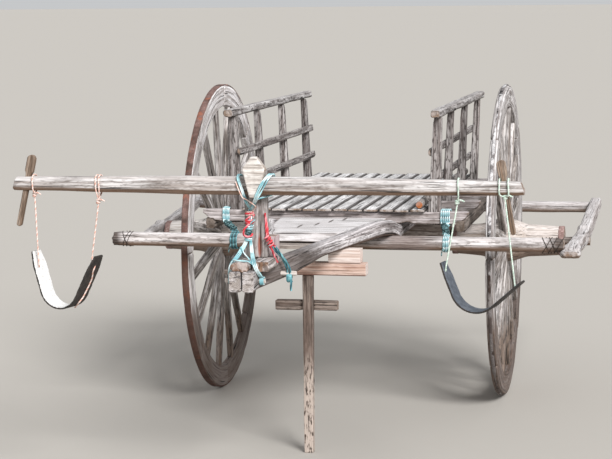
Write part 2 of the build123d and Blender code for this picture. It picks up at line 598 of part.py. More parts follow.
def make_yoke(foot):
    """Yoke beam in a hooked post: the post stands behind it, the head plate hangs in front of it."""
    ends = ((-YOKE_HALF_LEFT, -1), (YOKE_HALF_RIGHT, 1))
    yoke = loft([yoke_section(x) for x in (-YOKE_HALF_LEFT, *YOKE_FULL, YOKE_HALF_RIGHT)], ruled=True)
    for x, s in ends:
        cutter = Pos(x + s * YOKE_END, YOKE_Y, YOKE_Z) * Rot(0, -YOKE_END_SLANT, 0) * Box(
            2 * YOKE_END, 2 * YOKE_END, 4 * YOKE_END)
        yoke -= cutter
    wide = POST_WIDE / 2
    outline = ((HEAD_TOP_WIDE / 2, HEAD_ABOVE), (wide, SHOULDER_ABOVE), (HEAD_BOTTOM_WIDE / 2, -HEAD_BELOW))
    right = [(PLATE_X + x, YOKE_Z + above) for x, above in outline]
    left = [(PLATE_X - x, YOKE_Z + above) for x, above in reversed(outline)]
    plate = make_face(Polyline(*right, *left, close=True))
    half = YOKE_MID / 2 + HOOK_CLEAR
    nodes["yoke_post"] = (
        Pos(0, YOKE_Y - half, 0) * extrude(Plane.XZ * plate, HOOK_THICK)
        + block(PLATE_X - HOOK_WIDE / 2, PLATE_X + HOOK_WIDE / 2, YOKE_Y - half - HOOK_THICK / 2, POST_REAR,
                YOKE_Z + half, YOKE_Z + HOOK_ABOVE)
        + block(POST_X - wide, POST_X + wide, POST_FRONT, POST_REAR, foot, YOKE_Z + HOOK_ABOVE)
    )
    for side, top_inset, bottom_inset, above, below, paddle, stick in YOKE_PINS:
        end, s = ends[0] if side == "left" else ends[1]
        top = Vector(end - s * top_inset, YOKE_Y, YOKE_Z + above)
        bottom = Vector(end - s * bottom_inset, YOKE_Y, YOKE_Z + below)
        up = top - bottom
        # Drawn standing on the origin, the paddle's foot on the yoke, then leaned over
        paddle_high = above - YOKE_MID / 2
        face = Pos(0, up.length / 2) * RectangleRounded(stick, up.length, stick * PIN_ROUND)
        paddle_face = RectangleRounded(paddle, paddle_high, paddle * PIN_ROUND)
        face += Pos(0, up.length - paddle_high / 2) * paddle_face
        lean = Pos(*bottom) * Rot(0, degrees(atan2(up.X, up.Z)), 0)
        pin = lean * extrude(Plane.XZ * face, PIN_THICK / 2, both=True)
        yoke -= pin
        nodes[f"yoke_pin_{side}"] = pin
    nodes["yoke"] = yoke


def make_neck_straps():
    """Bands of belting bent to a bow and hung on cords under both ends of the yoke."""
    for side, inset, drop, left_reach, right_reach, left_low, right_low, bend, yaw, cord_xs in NECK_STRAPS:
        middle = YOKE_HALF_RIGHT - inset if side == "right" else inset - YOKE_HALF_LEFT
        centre = YOKE_Z - drop + bend
        # Each leg leaves the bend on a tangent. Points are kept for the outer and the inner face
        legs = []
        for s, reach, low in ((-1, left_reach, left_low), (1, right_reach, right_low)):
            rise = YOKE_Z - low - centre
            away = hypot(reach, rise)
            lean = atan2(sqrt(away ** 2 - bend ** 2), bend) - atan2(rise, reach)
            out = Vector(s * cos(lean), -sin(lean))
            end = Vector(s * reach, YOKE_Z - low)
            legs.append((s, out, end, [
                (end - out * deep, Vector(0, centre) + out * (bend - deep)) for deep in (0.0, STRAP_THICK)]))
        edges = []
        for face, radius in ((0, bend), (1, bend - STRAP_THICK)):
            (left_end, left_bend), (right_end, right_bend) = legs[0][3][face], legs[1][3][face]
            edges += [Line(left_end, left_bend), Line(right_bend, right_end),
                      ThreePointArc(left_bend, (0, centre - radius), right_bend)]
        edges += [Line(points[0][0], points[1][0]) for *_, points in legs]
        band = extrude(Plane.XZ * make_face(edges), STRAP_BAND / 2, both=True)
        place = Pos(middle, YOKE_Y, 0) * Rot(0, 0, yaw)
        cords = []
        for (s, out, end, points), x in zip(legs, cord_xs):
            down = (points[0][1] - points[0][0]).normalized()
            # The corners of the end are cut off
            for edge in (-1, 1):
                corner = make_face(Polyline(
                    (edge * STRAP_TIP / 2, end.Y + STRAP_THICK), (edge * STRAP_BAND, end.Y + STRAP_THICK),
                    (edge * STRAP_BAND, end.Y - STRAP_TAPER), (edge * STRAP_BAND / 2, end.Y - STRAP_TAPER),
                    (edge * STRAP_TIP / 2, end.Y), close=True))
                band -= extrude(Plane.YZ * corner, s * 2 * left_reach)
            hole = end + down * STRAP_HOLE
            outside = hole + out * (CORD_RADIUS + CORD_CLEAR)
            inside = hole - out * (STRAP_THICK + CORD_RADIUS)
            through = place * rod((outside.X, 0, outside.Y), (inside.X, 0, inside.Y), CORD_RADIUS)
            low = (place * Pos(outside.X, 0, outside.Y)).position
            size = yoke_size(middle + x)
            top = (middle + x, YOKE_Y, YOKE_Z - size / 2 - CORD_RADIUS)
            loop = extrude(yoke_section(middle + x, 2 * CORD_RADIUS), CORD_RADIUS, both=True)
            cords.append((through, rod(tuple(low), top, CORD_RADIUS) + loop))
        band = place * band
        for through, _ in cords:
            band -= through
        nodes[f"neck_strap_{side}"] = band
        around = [nodes["yoke"], nodes[f"yoke_pin_{side}"], band]
        nodes[f"neck_cords_{side}"] = [biggest((through + rest) - around) for through, rest in cords]


def make_lashings():
    """Rope turns that hold the front bar to the first bearer."""
    bearer_z = (BEARER_BOTTOM + FLOOR_BASE) / 2
    rings = []
    for grow in (2 * ROPE_RADIUS, 0.0):
        round_bar = Pos(FRONT_BAR_Y, FRONT_BAR_Z) * Circle(FRONT_BAR_RADIUS + grow)
        round_bearer = Pos(FIRST_BEARER, bearer_z) * Rectangle(BEARER_DEEP + 2 * grow, BEARER_HIGH + 2 * grow)
        rings.append(make_hull(Sketch([round_bar, round_bearer]).edges()))
    for side, inset, wide in LASHINGS:
        nodes[f"lashing_{side}"] = Pos(SIDES[side] * (BEARER_HALF - inset), 0, 0) * extrude(
            Plane.YZ * (rings[0] - rings[1]), wide / 2, both=True)


def make_yoke_lashing(foot):
    """Rope over the yoke on both sides of the head, knotted before the post, tied to the front peg."""
    behind, peg_left, peg_right, drop = TONGUE_PEGS[0]
    peg_y = YOKE_Y + behind
    peg_z = shaft_at("right", peg_y)[1] - drop
    knot_y = POST_FRONT - KNOT_RADIUS
    upper = (KNOT_X, knot_y, YOKE_Z - KNOT_TOP)
    lower = (KNOT_X, knot_y, YOKE_Z - KNOT_BOTTOM)
    rope = rod(lower, upper, KNOT_RADIUS)
    for x in YOKE_ROPE_XS:
        rope += extrude(yoke_section(x, 2 * ROPE_RADIUS), ROPE_RADIUS, both=True)
        rope += rod((x, YOKE_Y, YOKE_Z - YOKE_MID / 2 - ROPE_RADIUS), upper, ROPE_RADIUS)
    # The left leg passes the tip boards' side, the right leg goes over their front edge
    (left_x, *_), (right_x, _, right_ahead, _) = TIP_BOARDS
    routes = (
        (peg_left + ROPE_RADIUS, (left_x - ROPE_RADIUS, peg_y, foot)),
        (peg_right - ROPE_RADIUS, (right_x + 2 * ROPE_RADIUS, YOKE_Y - right_ahead - ROPE_RADIUS, foot)),
    )
    for x, corner in routes:
        rope += rod(lower, corner, ROPE_RADIUS) + rod(corner, (x, peg_y, peg_z), ROPE_RADIUS)
        rope += Pos(*corner) * Sphere(ROPE_RADIUS)
        rope += Pos(x, peg_y, peg_z) * Rot(0, 90, 0) * Cylinder(PEG_RADIUS + 2 * ROPE_RADIUS, 2 * ROPE_RADIUS)
    around = [nodes[name] for name in ("yoke", "yoke_post", "shaft_left", "shaft_right")]
    nodes["yoke_lashing"] = biggest(rope - [*around, *nodes["tongue_cap"], *nodes["tongue_pegs"]])


def make_prop():
    """Post with a head beam and a packing block under the right shaft, and a short cross board."""
    y, x = PROP_Y, PROP_X
    nodes["prop_post"] = loft([
        Plane((x, y, 0)) * Rectangle(PROP_POST_FOOT, PROP_POST_FOOT),
        Plane((x, y, PROP_BEAM_BOTTOM)) * Rectangle(PROP_POST_TOP, PROP_POST_TOP),
    ], ruled=True)
    top = PROP_BEAM_BOTTOM + PROP_BEAM_HIGH
    nodes["prop_beam"] = block(PROP_BEAM_LEFT, PROP_BEAM_RIGHT, y - PROP_BEAM_DEEP / 2,
                               y + PROP_BEAM_DEEP / 2, PROP_BEAM_BOTTOM, top, PROP_BEAM_BEVEL)
    _, z, _, high = shaft_at("right", y)
    packing = block(PROP_BLOCK_LEFT, PROP_BLOCK_RIGHT, y - PROP_BLOCK_DEEP / 2, y + PROP_BLOCK_DEEP / 2,
                    top, z - high / 2 + PROP_BLOCK_BED)
    nodes["prop_block"] = biggest(packing - [nodes["shaft_right"], nodes["tongue_board_2"]])
    cross = AXLE_Z - CROSS_BELOW
    board = block(CROSS_LEFT, CROSS_RIGHT, y, y + PROP_POST_TOP / 2 + CROSS_THICK, cross, cross + CROSS_HIGH)
    nodes["prop_board"] = biggest(board - nodes["prop_post"])


make_wheels()
make_shafts()
make_axle()
make_bars()
make_outriggers()
make_bearers()
make_floor()
for panel_side in SIDES:
    make_panel(panel_side)
post_foot = make_tongue()
make_yoke(post_foot)
make_neck_straps()
make_lashings()
make_yoke_lashing(post_foot)
make_prop()

# The finished cart stands with its origin on the ground, under the middle of its outline
shapes = {name: shape if isinstance(shape, list) else list(shape.solids()) for name, shape in nodes.items()}
outline = Compound([solid for solids in shapes.values() for solid in solids]).bounding_box()
home = Pos(-(outline.min.X + outline.max.X) / 2, -(outline.min.Y + outline.max.Y) / 2, -outline.min.Z)
os.makedirs("parts", exist_ok=True)
for name, solids in shapes.items():
    moved = [home * solid for solid in solids]
    export_step(moved[0] if len(moved) == 1 else Compound(moved), f"parts/{name}.step")
print("moved by", [round(value, 4) for value in home.position])
print("size", [round(value, 2) for value in outline.size], "nodes", len(shapes))
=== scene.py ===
import bpy
import bmesh
import json
import numpy as np
from math import atan2, cos, pi, sin
from mathutils import Matrix, Vector, noise

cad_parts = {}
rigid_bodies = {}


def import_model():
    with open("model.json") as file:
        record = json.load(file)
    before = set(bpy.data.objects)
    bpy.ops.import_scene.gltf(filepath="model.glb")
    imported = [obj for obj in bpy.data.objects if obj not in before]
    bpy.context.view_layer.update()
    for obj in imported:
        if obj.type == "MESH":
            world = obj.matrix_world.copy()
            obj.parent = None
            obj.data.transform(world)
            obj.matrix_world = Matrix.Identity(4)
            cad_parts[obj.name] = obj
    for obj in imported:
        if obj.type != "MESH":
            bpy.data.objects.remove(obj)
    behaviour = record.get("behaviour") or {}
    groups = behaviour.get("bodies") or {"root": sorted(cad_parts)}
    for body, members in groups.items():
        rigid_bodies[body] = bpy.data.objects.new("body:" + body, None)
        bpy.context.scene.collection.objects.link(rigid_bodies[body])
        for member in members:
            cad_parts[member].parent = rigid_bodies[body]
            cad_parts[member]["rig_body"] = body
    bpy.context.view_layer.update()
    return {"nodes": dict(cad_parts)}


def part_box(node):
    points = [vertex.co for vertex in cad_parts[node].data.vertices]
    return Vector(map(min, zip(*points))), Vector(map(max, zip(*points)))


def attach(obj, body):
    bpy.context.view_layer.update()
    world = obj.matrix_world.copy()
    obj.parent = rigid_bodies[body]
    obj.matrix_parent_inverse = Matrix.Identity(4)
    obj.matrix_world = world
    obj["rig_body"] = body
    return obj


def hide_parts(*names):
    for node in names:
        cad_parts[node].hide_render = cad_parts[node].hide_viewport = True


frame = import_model()

# Camera: in front of the cart, a little to its right, looking slightly down at it with a long
# lens. Its place is measured from the point on the ground under the middle of the axle, and its turns
# are in radians.
left_box, right_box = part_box("tyre_left"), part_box("tyre_right")
home = (left_box[0] + left_box[1] + right_box[0] + right_box[1]) / 4
axle_z = home.z
home.z = 0.0
camera_place = home + Vector((1.531, -8.950, 1.829))
yaw, pitch, roll = 0.198616, 0.116610, -0.0086213
forward = Vector((-sin(yaw) * cos(pitch), cos(yaw) * cos(pitch), -sin(pitch)))
rightward = Vector((cos(yaw), sin(yaw), 0.0))
upward = rightward.cross(forward)
camera_axes = Matrix((rightward * cos(roll) + upward * sin(roll),
                      upward * cos(roll) - rightward * sin(roll),
                      -forward))
camera_data = bpy.data.cameras.new("camera")
camera_data.lens = 113.55
camera_data.sensor_width = 36.0
camera = bpy.data.objects.new("camera", camera_data)
camera.matrix_world = Matrix.Translation(camera_place) @ camera_axes.transposed().to_4x4()
bpy.context.scene.collection.objects.link(camera)
bpy.context.scene.camera = camera

# Floor and light: a plain pale studio floor under an even bright sky, with one large soft lamp
# high up at the front right.


def tint(code):
    """Linear colour of an sRGB hex code."""
    values = [int(code[i:i + 2], 16) / 255 for i in (0, 2, 4)]
    return [v / 12.92 if v <= 0.04045 else ((v + 0.055) / 1.055) ** 2.4 for v in values] + [1.0]


def add(tree, kind, sockets, **settings):
    """Adds a node, sets what it is told and links or fills its sockets."""
    node = tree.nodes.new(kind)
    for name, value in settings.items():
        setattr(node, name, value)
    for key, value in sockets.items():
        if isinstance(value, bpy.types.NodeSocket):
            tree.links.new(value, node.inputs[key])
        else:
            node.inputs[key].default_value = value
    return node


def blank(name):
    """New material with an empty tree, and its tree."""
    material = bpy.data.materials.new(name)
    material.use_nodes = True
    material.node_tree.nodes.clear()
    return material, material.node_tree


def finish_surface(tree, colour, roughness, height=None, depth=0.0):
    """Dull surface from a colour, a roughness and, where it is given, a relief with its depth in mm."""
    sockets = {"Base Color": colour, "Roughness": roughness}
    if height is not None:
        relief = add(tree, "ShaderNodeBump", {"Height": height, "Distance": depth / 1000, "Strength": 1.0})
        sockets["Normal"] = relief.outputs[0]
    surface = add(tree, "ShaderNodeBsdfPrincipled", sockets)
    add(tree, "ShaderNodeOutputMaterial", {"Surface": surface.outputs[0]})


sky = bpy.data.worlds.new("sky")
bpy.context.scene.world = sky
sky.use_nodes = True
sky_light = sky.node_tree.nodes["Background"]
sky_light.inputs["Color"].default_value = tint("eef0f2")
sky_light.inputs["Strength"].default_value = 0.66
floor_material, floor_tree = blank("studio_floor")
finish_surface(floor_tree, tint("b3aea7"), 0.95)
bpy.ops.mesh.primitive_plane_add(size=4000.0)
floor = bpy.context.object
floor.name = "studio_floor"
floor.data.materials.append(floor_material)
lamp_data = bpy.data.lights.new("soft_sun", "SUN")
lamp_data.energy = 4.4
lamp_data.angle = 0.4
lamp_aim = Vector((-0.48, 0.69, -0.54))
lamp = bpy.data.objects.new("soft_sun", lamp_data)
lamp.rotation_euler = lamp_aim.to_track_quat("-Z", "Y").to_euler()
bpy.context.scene.collection.objects.link(lamp)
bpy.context.scene.view_settings.view_transform = "Standard"

# Naves, spokes and felloes: barrels of hardwood, still pale between their iron bands, with 16 tapered
# spokes let into each, and eight felloes round the spokes. All are bare wood gone grey, with brown
# heartwood showing, and brown where the wheels have stood in the damp.


def mixed(tree, factor, first, second):
    """Colour between two others."""
    return add(tree, "ShaderNodeMix", {0: factor, 6: first, 7: second}, data_type="RGBA").outputs[2]


def times(tree, value, other):
    """Product of two values."""
    return add(tree, "ShaderNodeMath", {0: value, 1: other}, operation="MULTIPLY").outputs[0]


def spread(tree, value, low, high):
    """0 at low, 1 at high and even in between."""
    return add(tree, "ShaderNodeMapRange", {"Value": value, "From Min": low, "From Max": high}).outputs[0]


def clouds(tree, place, size, detail, low, high):
    """Noise with patches of a size in mm, or of three for stretched ones: 0 below low, 1 above high."""
    sizes = size if isinstance(size, tuple) else (size, size, size)
    scaled = add(tree, "ShaderNodeMapping", {"Vector": place, "Scale": [1000 / value for value in sizes]})
    cloud = add(tree, "ShaderNodeTexNoise", {
        "Vector": scaled.outputs[0], "Scale": 1.0, "Detail": detail, "Roughness": 0.6})
    return spread(tree, cloud.outputs[0], low, high)


def timber(name, pale, grey, dark, under=None, split=0.6, mottle=0.5, speckle=0.4, end="8d7868", low=None,
           stains=(), turn=(-0.1, -0.6), vary=0.2, groove=0.4, checks=0.2):
    """Bare timber greyed by the weather: bleached fibres, darker streaks and drying cracks along the grain.

    Streaks are pale or grey and patches dark; hollows are darkened as painted shade. Where under is given,
    faces that look up are painted a little paler, as painted light, and faces that look down take the
    colour under as painted shade, once their normal's height has passed from the first to the second
    value of turn. Sawn ends are of the colour end. Low is a height in mm and the colour below it. A stain
    is a place and three radii in mm, and its colour. Split, mottle, speckle and groove say how dark
    cracks, patches, specks and the painted shade in hollows are, vary how much the pieces of a node
    differ, and checks how cracked their sawn ends are.
    """
    material, tree = blank(name)
    grain = add(tree, "ShaderNodeAttribute", {}, attribute_name="grain").outputs["Vector"]
    wear_and_shade = add(tree, "ShaderNodeAttribute", {}, attribute_name="wear_and_shade").outputs["Vector"]
    sawn, shaded_furrow, tone = add(tree, "ShaderNodeSeparateXYZ", {0: wear_and_shade}).outputs
    # The cart's fibres and cracks are about 1 mm wide, too fine to show, so they are drawn 7 mm wide
    fibres = clouds(tree, grain, (140, 6.6, 6.6), 3.0, 0.48, 0.62)
    cracks = clouds(tree, grain, (260, 6.5, 6.5), 1.0, 0.32, 0.37)
    bleached = clouds(tree, grain, (200, 10, 10), 2.0, 0.52, 0.68)
    streaks = clouds(tree, grain, (500, 17, 17), 3.0, 0.44, 0.56)
    patches = clouds(tree, grain, (200, 55, 55), 4.0, 0.49, 0.62)
    specks = clouds(tree, grain, (30, 9, 9), 2.0, 0.52, 0.62)
    colour = mixed(tree, streaks, tint(grey), tint(pale))
    colour = mixed(tree, times(tree, patches, mottle), colour, tint(dark))
    colour = mixed(tree, times(tree, bleached, 0.55), colour, tint(pale))
    colour = mixed(tree, times(tree, fibres, 0.6), colour, tint(dark))
    colour = mixed(tree, times(tree, specks, speckle), colour, tint(dark))
    colour = mixed(tree, times(tree, tone, vary), colour, tint(dark))
    facing = add(tree, "ShaderNodeNewGeometry", {}).outputs["Normal"]
    height = add(tree, "ShaderNodeSeparateXYZ", {0: facing}).outputs[2]
    # Painted light and shade: faces that look up mix a little towards pale, and faces that look down towards
    # the colour under
    if under:
        upper = times(tree, spread(tree, height, 0.3, 0.8), 0.3)
        lower = times(tree, spread(tree, height, *turn), 0.85)
        colour = mixed(tree, upper, colour, tint(pale))
        colour = mixed(tree, lower, colour, tint(under))
    # Painted shade in the hollows and in the edge strips
    colour = mixed(tree, times(tree, shaded_furrow, groove), colour, tint(dark))
    place = add(tree, "ShaderNodeTexCoord", {}).outputs["Object"]
    if low:
        # The damp fades over 100 mm above its height, and its edge dips by up to 140 mm
        level, code = low
        ground = add(tree, "ShaderNodeSeparateXYZ", {0: place}).outputs[2]
        uneven = times(tree, clouds(tree, grain, (200, 40, 40), 3.0, 0.2, 0.8), 0.14)
        ground = add(tree, "ShaderNodeMath", {0: ground, 1: uneven}, operation="ADD").outputs[0]
        damp = spread(tree, ground, (level + 100) / 1000, level / 1000)
        colour = mixed(tree, times(tree, damp, 0.8), colour, mixed(tree, specks, tint(code), tint(dark)))
    for middle, radii, code in stains:
        middle = tuple(home + Vector(middle) / 1000)
        radii = [radius / 1000 for radius in radii]
        offset = add(tree, "ShaderNodeVectorMath", {0: place, 1: middle}, operation="SUBTRACT").outputs[0]
        shrunk = add(tree, "ShaderNodeVectorMath", {0: offset, 1: radii}, operation="DIVIDE").outputs[0]
        away = add(tree, "ShaderNodeVectorMath", {0: shrunk}, operation="LENGTH").outputs["Value"]
        stained = mixed(tree, times(tree, fibres, 0.5), tint(code), tint(dark))
        colour = mixed(tree, times(tree, spread(tree, away, 1.0, 0.5), 0.85), colour, stained)
    gap = add(tree, "ShaderNodeMath", {0: 1.0, 1: cracks}, operation="SUBTRACT").outputs[0]
    colour = mixed(tree, times(tree, gap, split), colour, tint("1f1915"))
    # Sawn ends: rings round the heart, one every 5.7 mm, with soft pale patches and dark checks
    ring_rate = 1100.0
    sides = add(tree, "ShaderNodeVectorMath", {0: grain, 1: (0.0, 1.0, 1.0)}, operation="MULTIPLY").outputs[0]
    out = add(tree, "ShaderNodeVectorMath", {0: sides}, operation="LENGTH").outputs["Value"]
    rings = add(tree, "ShaderNodeMath", {0: times(tree, out, ring_rate)}, operation="SINE").outputs[0]
    soft = clouds(tree, grain, 30, 3.0, 0.42, 0.58)
    checked = clouds(tree, grain, (40, 12, 40), 2.0, 0.56, 0.60)
    butt = mixed(tree, times(tree, spread(tree, rings, -0.5, 1.0), 0.5), tint(end), tint(dark))
    butt = mixed(tree, times(tree, soft, 0.2 + 0.5 * checks), butt, tint(pale))
    butt = mixed(tree, times(tree, checked, checks), butt, tint(dark))
    colour = mixed(tree, spread(tree, sawn, 0.72, 0.92), colour, butt)
    relief = add(tree, "ShaderNodeMath", {0: times(tree, fibres, -0.4), 1: cracks}, operation="ADD")
    finish_surface(tree, colour, 0.9, relief.outputs[0], 1.8)
    return material


def island_meshes(node):
    """The solids of a CAD node, each as a mesh of its own with its triangles joined up."""
    joined = bmesh.new()
    joined.from_mesh(frame["nodes"][node].data)
    bmesh.ops.remove_doubles(joined, verts=joined.verts, dist=0.00002)
    bmesh.ops.recalc_face_normals(joined, faces=joined.faces)
    found, islands = set(), []
    for start in joined.verts:
        if start in found:
            continue
        found.add(start)
        queue, island = [start], []
        while queue:
            vert = queue.pop()
            island.append(vert)
            for edge in vert.link_edges:
                other = edge.other_vert(vert)
                if other not in found:
                    found.add(other)
                    queue.append(other)
        index = {vert: i for i, vert in enumerate(island)}
        faces = sorted({face for vert in island for face in vert.link_faces}, key=lambda face: face.index)
        mesh = bpy.data.meshes.new("island")
        mesh.from_pydata([vert.co[:] for vert in island], [],
                         [[index[vert] for vert in face.verts] for face in faces])
        islands.append(mesh)
    joined.free()
    return islands


def vectors(items, name):
    """One vector value of every item of a mesh, as the rows of an array."""
    values = np.empty(len(items) * 3)
    items.foreach_get(name, values)
    return values.reshape(-1, 3)


def remeshed(mesh, voxel):
    """The same solid as an even skin of small quads, whose width is in metres."""
    holder = bpy.data.objects.new("holder", mesh)
    bpy.context.scene.collection.objects.link(holder)
    skin = holder.modifiers.new("skin", "REMESH")
    skin.mode = "VOXEL"
    skin.voxel_size = voxel
    bpy.context.view_layer.update()
    result = bpy.data.meshes.new_from_object(holder.evaluated_get(bpy.context.evaluated_depsgraph_get()))
    bpy.data.objects.remove(holder)
    return result


def placed(mesh, node, slot, *materials):
    """Puts a mesh into the scene in place of a CAD node, on the same body."""
    mesh.polygons.foreach_set("use_smooth", [True] * len(mesh.polygons))
    for material in materials:
        mesh.materials.append(material)
    piece = bpy.data.objects.new(mesh.name, mesh)
    bpy.context.scene.collection.objects.link(piece)
    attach(piece, frame["nodes"][node]["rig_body"])
    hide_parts(node)
    return piece


def along_axes(middle, axes):
    """Maps to and from coordinates along three axes from a middle point."""
    return (lambda p: (p - middle) @ axes.T), (lambda q: q @ axes + middle)


def straight(points, edges, turned=False):
    """Grain coordinates of a straight timber: along its longest side, or its second longest, then across."""
    low, high = points.min(0), points.max(0)
    order = np.argsort(low - high)
    axes = np.eye(3)[[1, 0, 2] if turned else [0, 1, 2]] @ np.eye(3)[order]
    axes[2] = np.cross(axes[0], axes[1])
    return along_axes((low + high) / 2, axes)


def radial(points, edges):
    """Grain coordinates of a spoke, which points away from the axle."""
    middle = (points.max(0) + points.min(0)) / 2
    turn = atan2(middle[1] - home.y, middle[2] - axle_z)
    outward, around = (0.0, sin(turn), cos(turn)), (0.0, cos(turn), -sin(turn))
    return along_axes(middle, np.array([outward, around, (-1.0, 0.0, 0.0)]))


def round_rim(points, edges):
    """Grain coordinates of a felloe, round the rim of the wheel."""
    middle = (points.max(0) + points.min(0)) / 2
    turn = atan2(middle[1] - home.y, middle[2] - axle_z)
    mean = float(np.hypot(points[:, 1] - home.y, points[:, 2] - axle_z).mean())

    def to_grain(p):
        y, z = p[:, 1] - home.y, p[:, 2] - axle_z
        angle = (np.arctan2(y, z) - turn + pi) % (2 * pi) - pi
        return np.stack([angle * mean, np.hypot(y, z) - mean, p[:, 0] - middle[0]], 1)

    def from_grain(q):
        angle, radius = q[:, 0] / mean + turn, q[:, 1] + mean
        y, z = radius * np.sin(angle) + home.y, radius * np.cos(angle) + axle_z
        return np.stack([q[:, 2] + middle[0], y, z], 1)

    return to_grain, from_grain


def weathered(node, material, grain=straight, cell=5.0, stretch=3.0, worn=1.0, wave=2.0, rag=3.0, edge=0.0):
    """Stands in for a timber node: the same solids with eased edges, hollows, raised fibres and broken ends.

    The surface only ever moves inwards, by up to wave for the hollows, worn for the fibres and rag at
    the ends, in mm. The skin's quads are as wide as a cell and longer by stretch along the grain, but
    for the last few centimetres at both ends. A strip as wide as edge along both sides is marked, like
    the hollows, to be darkened as painted shade.
    """
    cell, worn, wave, rag, edge = (size / 1000 for size in (cell, worn, wave, rag, edge))
    frayed = 0.03  # length of the broken stretch at each end, in metres
    places, grains, wear_and_shade_rows, corners, first = [], [], [], [], 0
    for number, island in enumerate(island_meshes(node)):
        points = vectors(island.vertices, "co")
        to_grain, from_grain = grain(points, np.array([line.vertices[:] for line in island.edges]))
        local = to_grain(points)
        # The solid is squeezed along the grain before the remesh and drawn out again after it
        start, stop = local[:, 0].min(), local[:, 0].max()
        tip = min(frayed, (stop - start) / 4)
        length = (stop - start - 2 * tip) / stretch
        real, drawn = [start, start + tip, stop - tip, stop], [0.0, tip, tip + length, 2 * tip + length]
        local[:, 0] = np.interp(local[:, 0], real, drawn)
        island.vertices.foreach_set("co", local.ravel())
        mesh = remeshed(island, cell)
        local, normals = vectors(mesh.vertices, "co"), vectors(mesh.vertices, "normal")
        normals[:, 0] *= np.where((local[:, 0] < drawn[1]) | (local[:, 0] > drawn[2]), 1.0, 1 / stretch)
        normals /= np.linalg.norm(normals, axis=1)[:, None]
        local[:, 0] = np.interp(local[:, 0], drawn, real)
        near_end = np.clip(1 - np.minimum(local[:, 0] - start, stop - local[:, 0]) / frayed, 0, 1)
        # Each solid has a stretch of the pattern to itself
        shifted = local + np.array([3.7 * number + len(node), 1.3 * number, 0.0])
        # Hollows are 200 mm long and 70 wide, raised fibres 125 and 10, splinters at the ends 50 and 14
        depth = np.empty(len(local))
        for i, (u, v, w) in enumerate(shifted.tolist()):
            hollow = noise.noise((u * 5.0, v * 14.0, w * 14.0))
            raised = noise.noise((u * 8.0, v * 95.0, w * 95.0))
            broken = noise.noise((u * 20.0, v * 70.0, w * 70.0))
            depth[i] = (wave * max(0.0, hollow + 0.1) + worn * max(0.0, raised + 0.15)
                        + rag * near_end[i] * max(0.0, broken + 0.2))
        # Per point: how far its face looks along the grain; how hollow it is, which the material darkens as
        # painted shade; and its solid's own tone
        shaded_furrow = np.clip(depth / (wave + worn + 1e-6), 0, 1)
        # Strips as wide as edge along both sides count as fully hollow, so they are darkened as painted shade
        # too
        if edge:
            shaded_furrow = np.maximum(shaded_furrow, np.abs(local[:, 1]) > local[:, 1].max() - edge)
        tone = (number * 0.618 + len(node) * 0.37) % 1.0
        places.append(from_grain(local - normals * depth[:, None]))
        grains.append(shifted)
        wear_and_shade_rows.append(np.stack([np.abs(normals[:, 0]), shaded_furrow, np.full(len(local), tone)], 1))
        faces = np.empty(len(mesh.loops), dtype=np.int64)
        mesh.loops.foreach_get("vertex_index", faces)
        corners.append(faces.reshape(-1, 4) + first)
        first += len(local)
        bpy.data.meshes.remove(mesh)
        bpy.data.meshes.remove(island)
    mesh = bpy.data.meshes.new(f"{node}_timber")
    mesh.from_pydata(np.concatenate(places).tolist(), [], np.concatenate(corners).tolist())
    for name, rows in (("grain", grains), ("wear_and_shade", wear_and_shade_rows)):
        attribute = mesh.attributes.new(name, "FLOAT_VECTOR", "POINT")
        attribute.data.foreach_set("vector", np.concatenate(rows).ravel())
    return placed(mesh, node, "old_timber", material)


# The left nave and felloes have paler copies of the right ones' woods: painted light on the left wheel
nave_left_wood_painted_light = timber("nave_left_wood_painted_light", "f3eeea", "e6ddd7", "8d7b6e", "7b6454", mottle=0.15, speckle=0.15)
nave_right_wood = timber("nave_right_wood", "ddd5d1", "cbc1ba", "7d6b5e", "6b5444", mottle=0.25, speckle=0.2)
spoke_wood = timber("spoke_wood", "e8e2e0", "a89e98", "3a2f28", split=1.0, mottle=0.55,
                    low=(340, "6b5748"), vary=0.4)
felloe_left_wood_painted_light = timber("felloe_left_wood_painted_light", "f2eff0", "d8d2d2", "6d5f54", split=1.0, mottle=0.4,
                          low=(500, "553f30"))
felloe_right_wood = timber("felloe_right_wood", "e6e2e2", "a69f9d", "3f322a", split=1.0, mottle=0.45,
                           low=(500, "553f30"))
for side, nave_wood, felloe_wood in (("left", nave_left_wood_painted_light, felloe_left_wood_painted_light),
                                     ("right", nave_right_wood, felloe_right_wood)):
    weathered(f"nave_{side}", nave_wood, stretch=2.0)
    weathered(f"spokes_{side}", spoke_wood, radial, cell=4.5)
    weathered(f"felloes_{side}", felloe_wood, round_rim)

# Tyres and nave bands: hoops of strip iron round the felloes and round the naves' ends. The left tyre
# is a broad strip gone pinkish brown with rust, as the bands have, and the right one is a dark narrow
# strip with stretches missing.


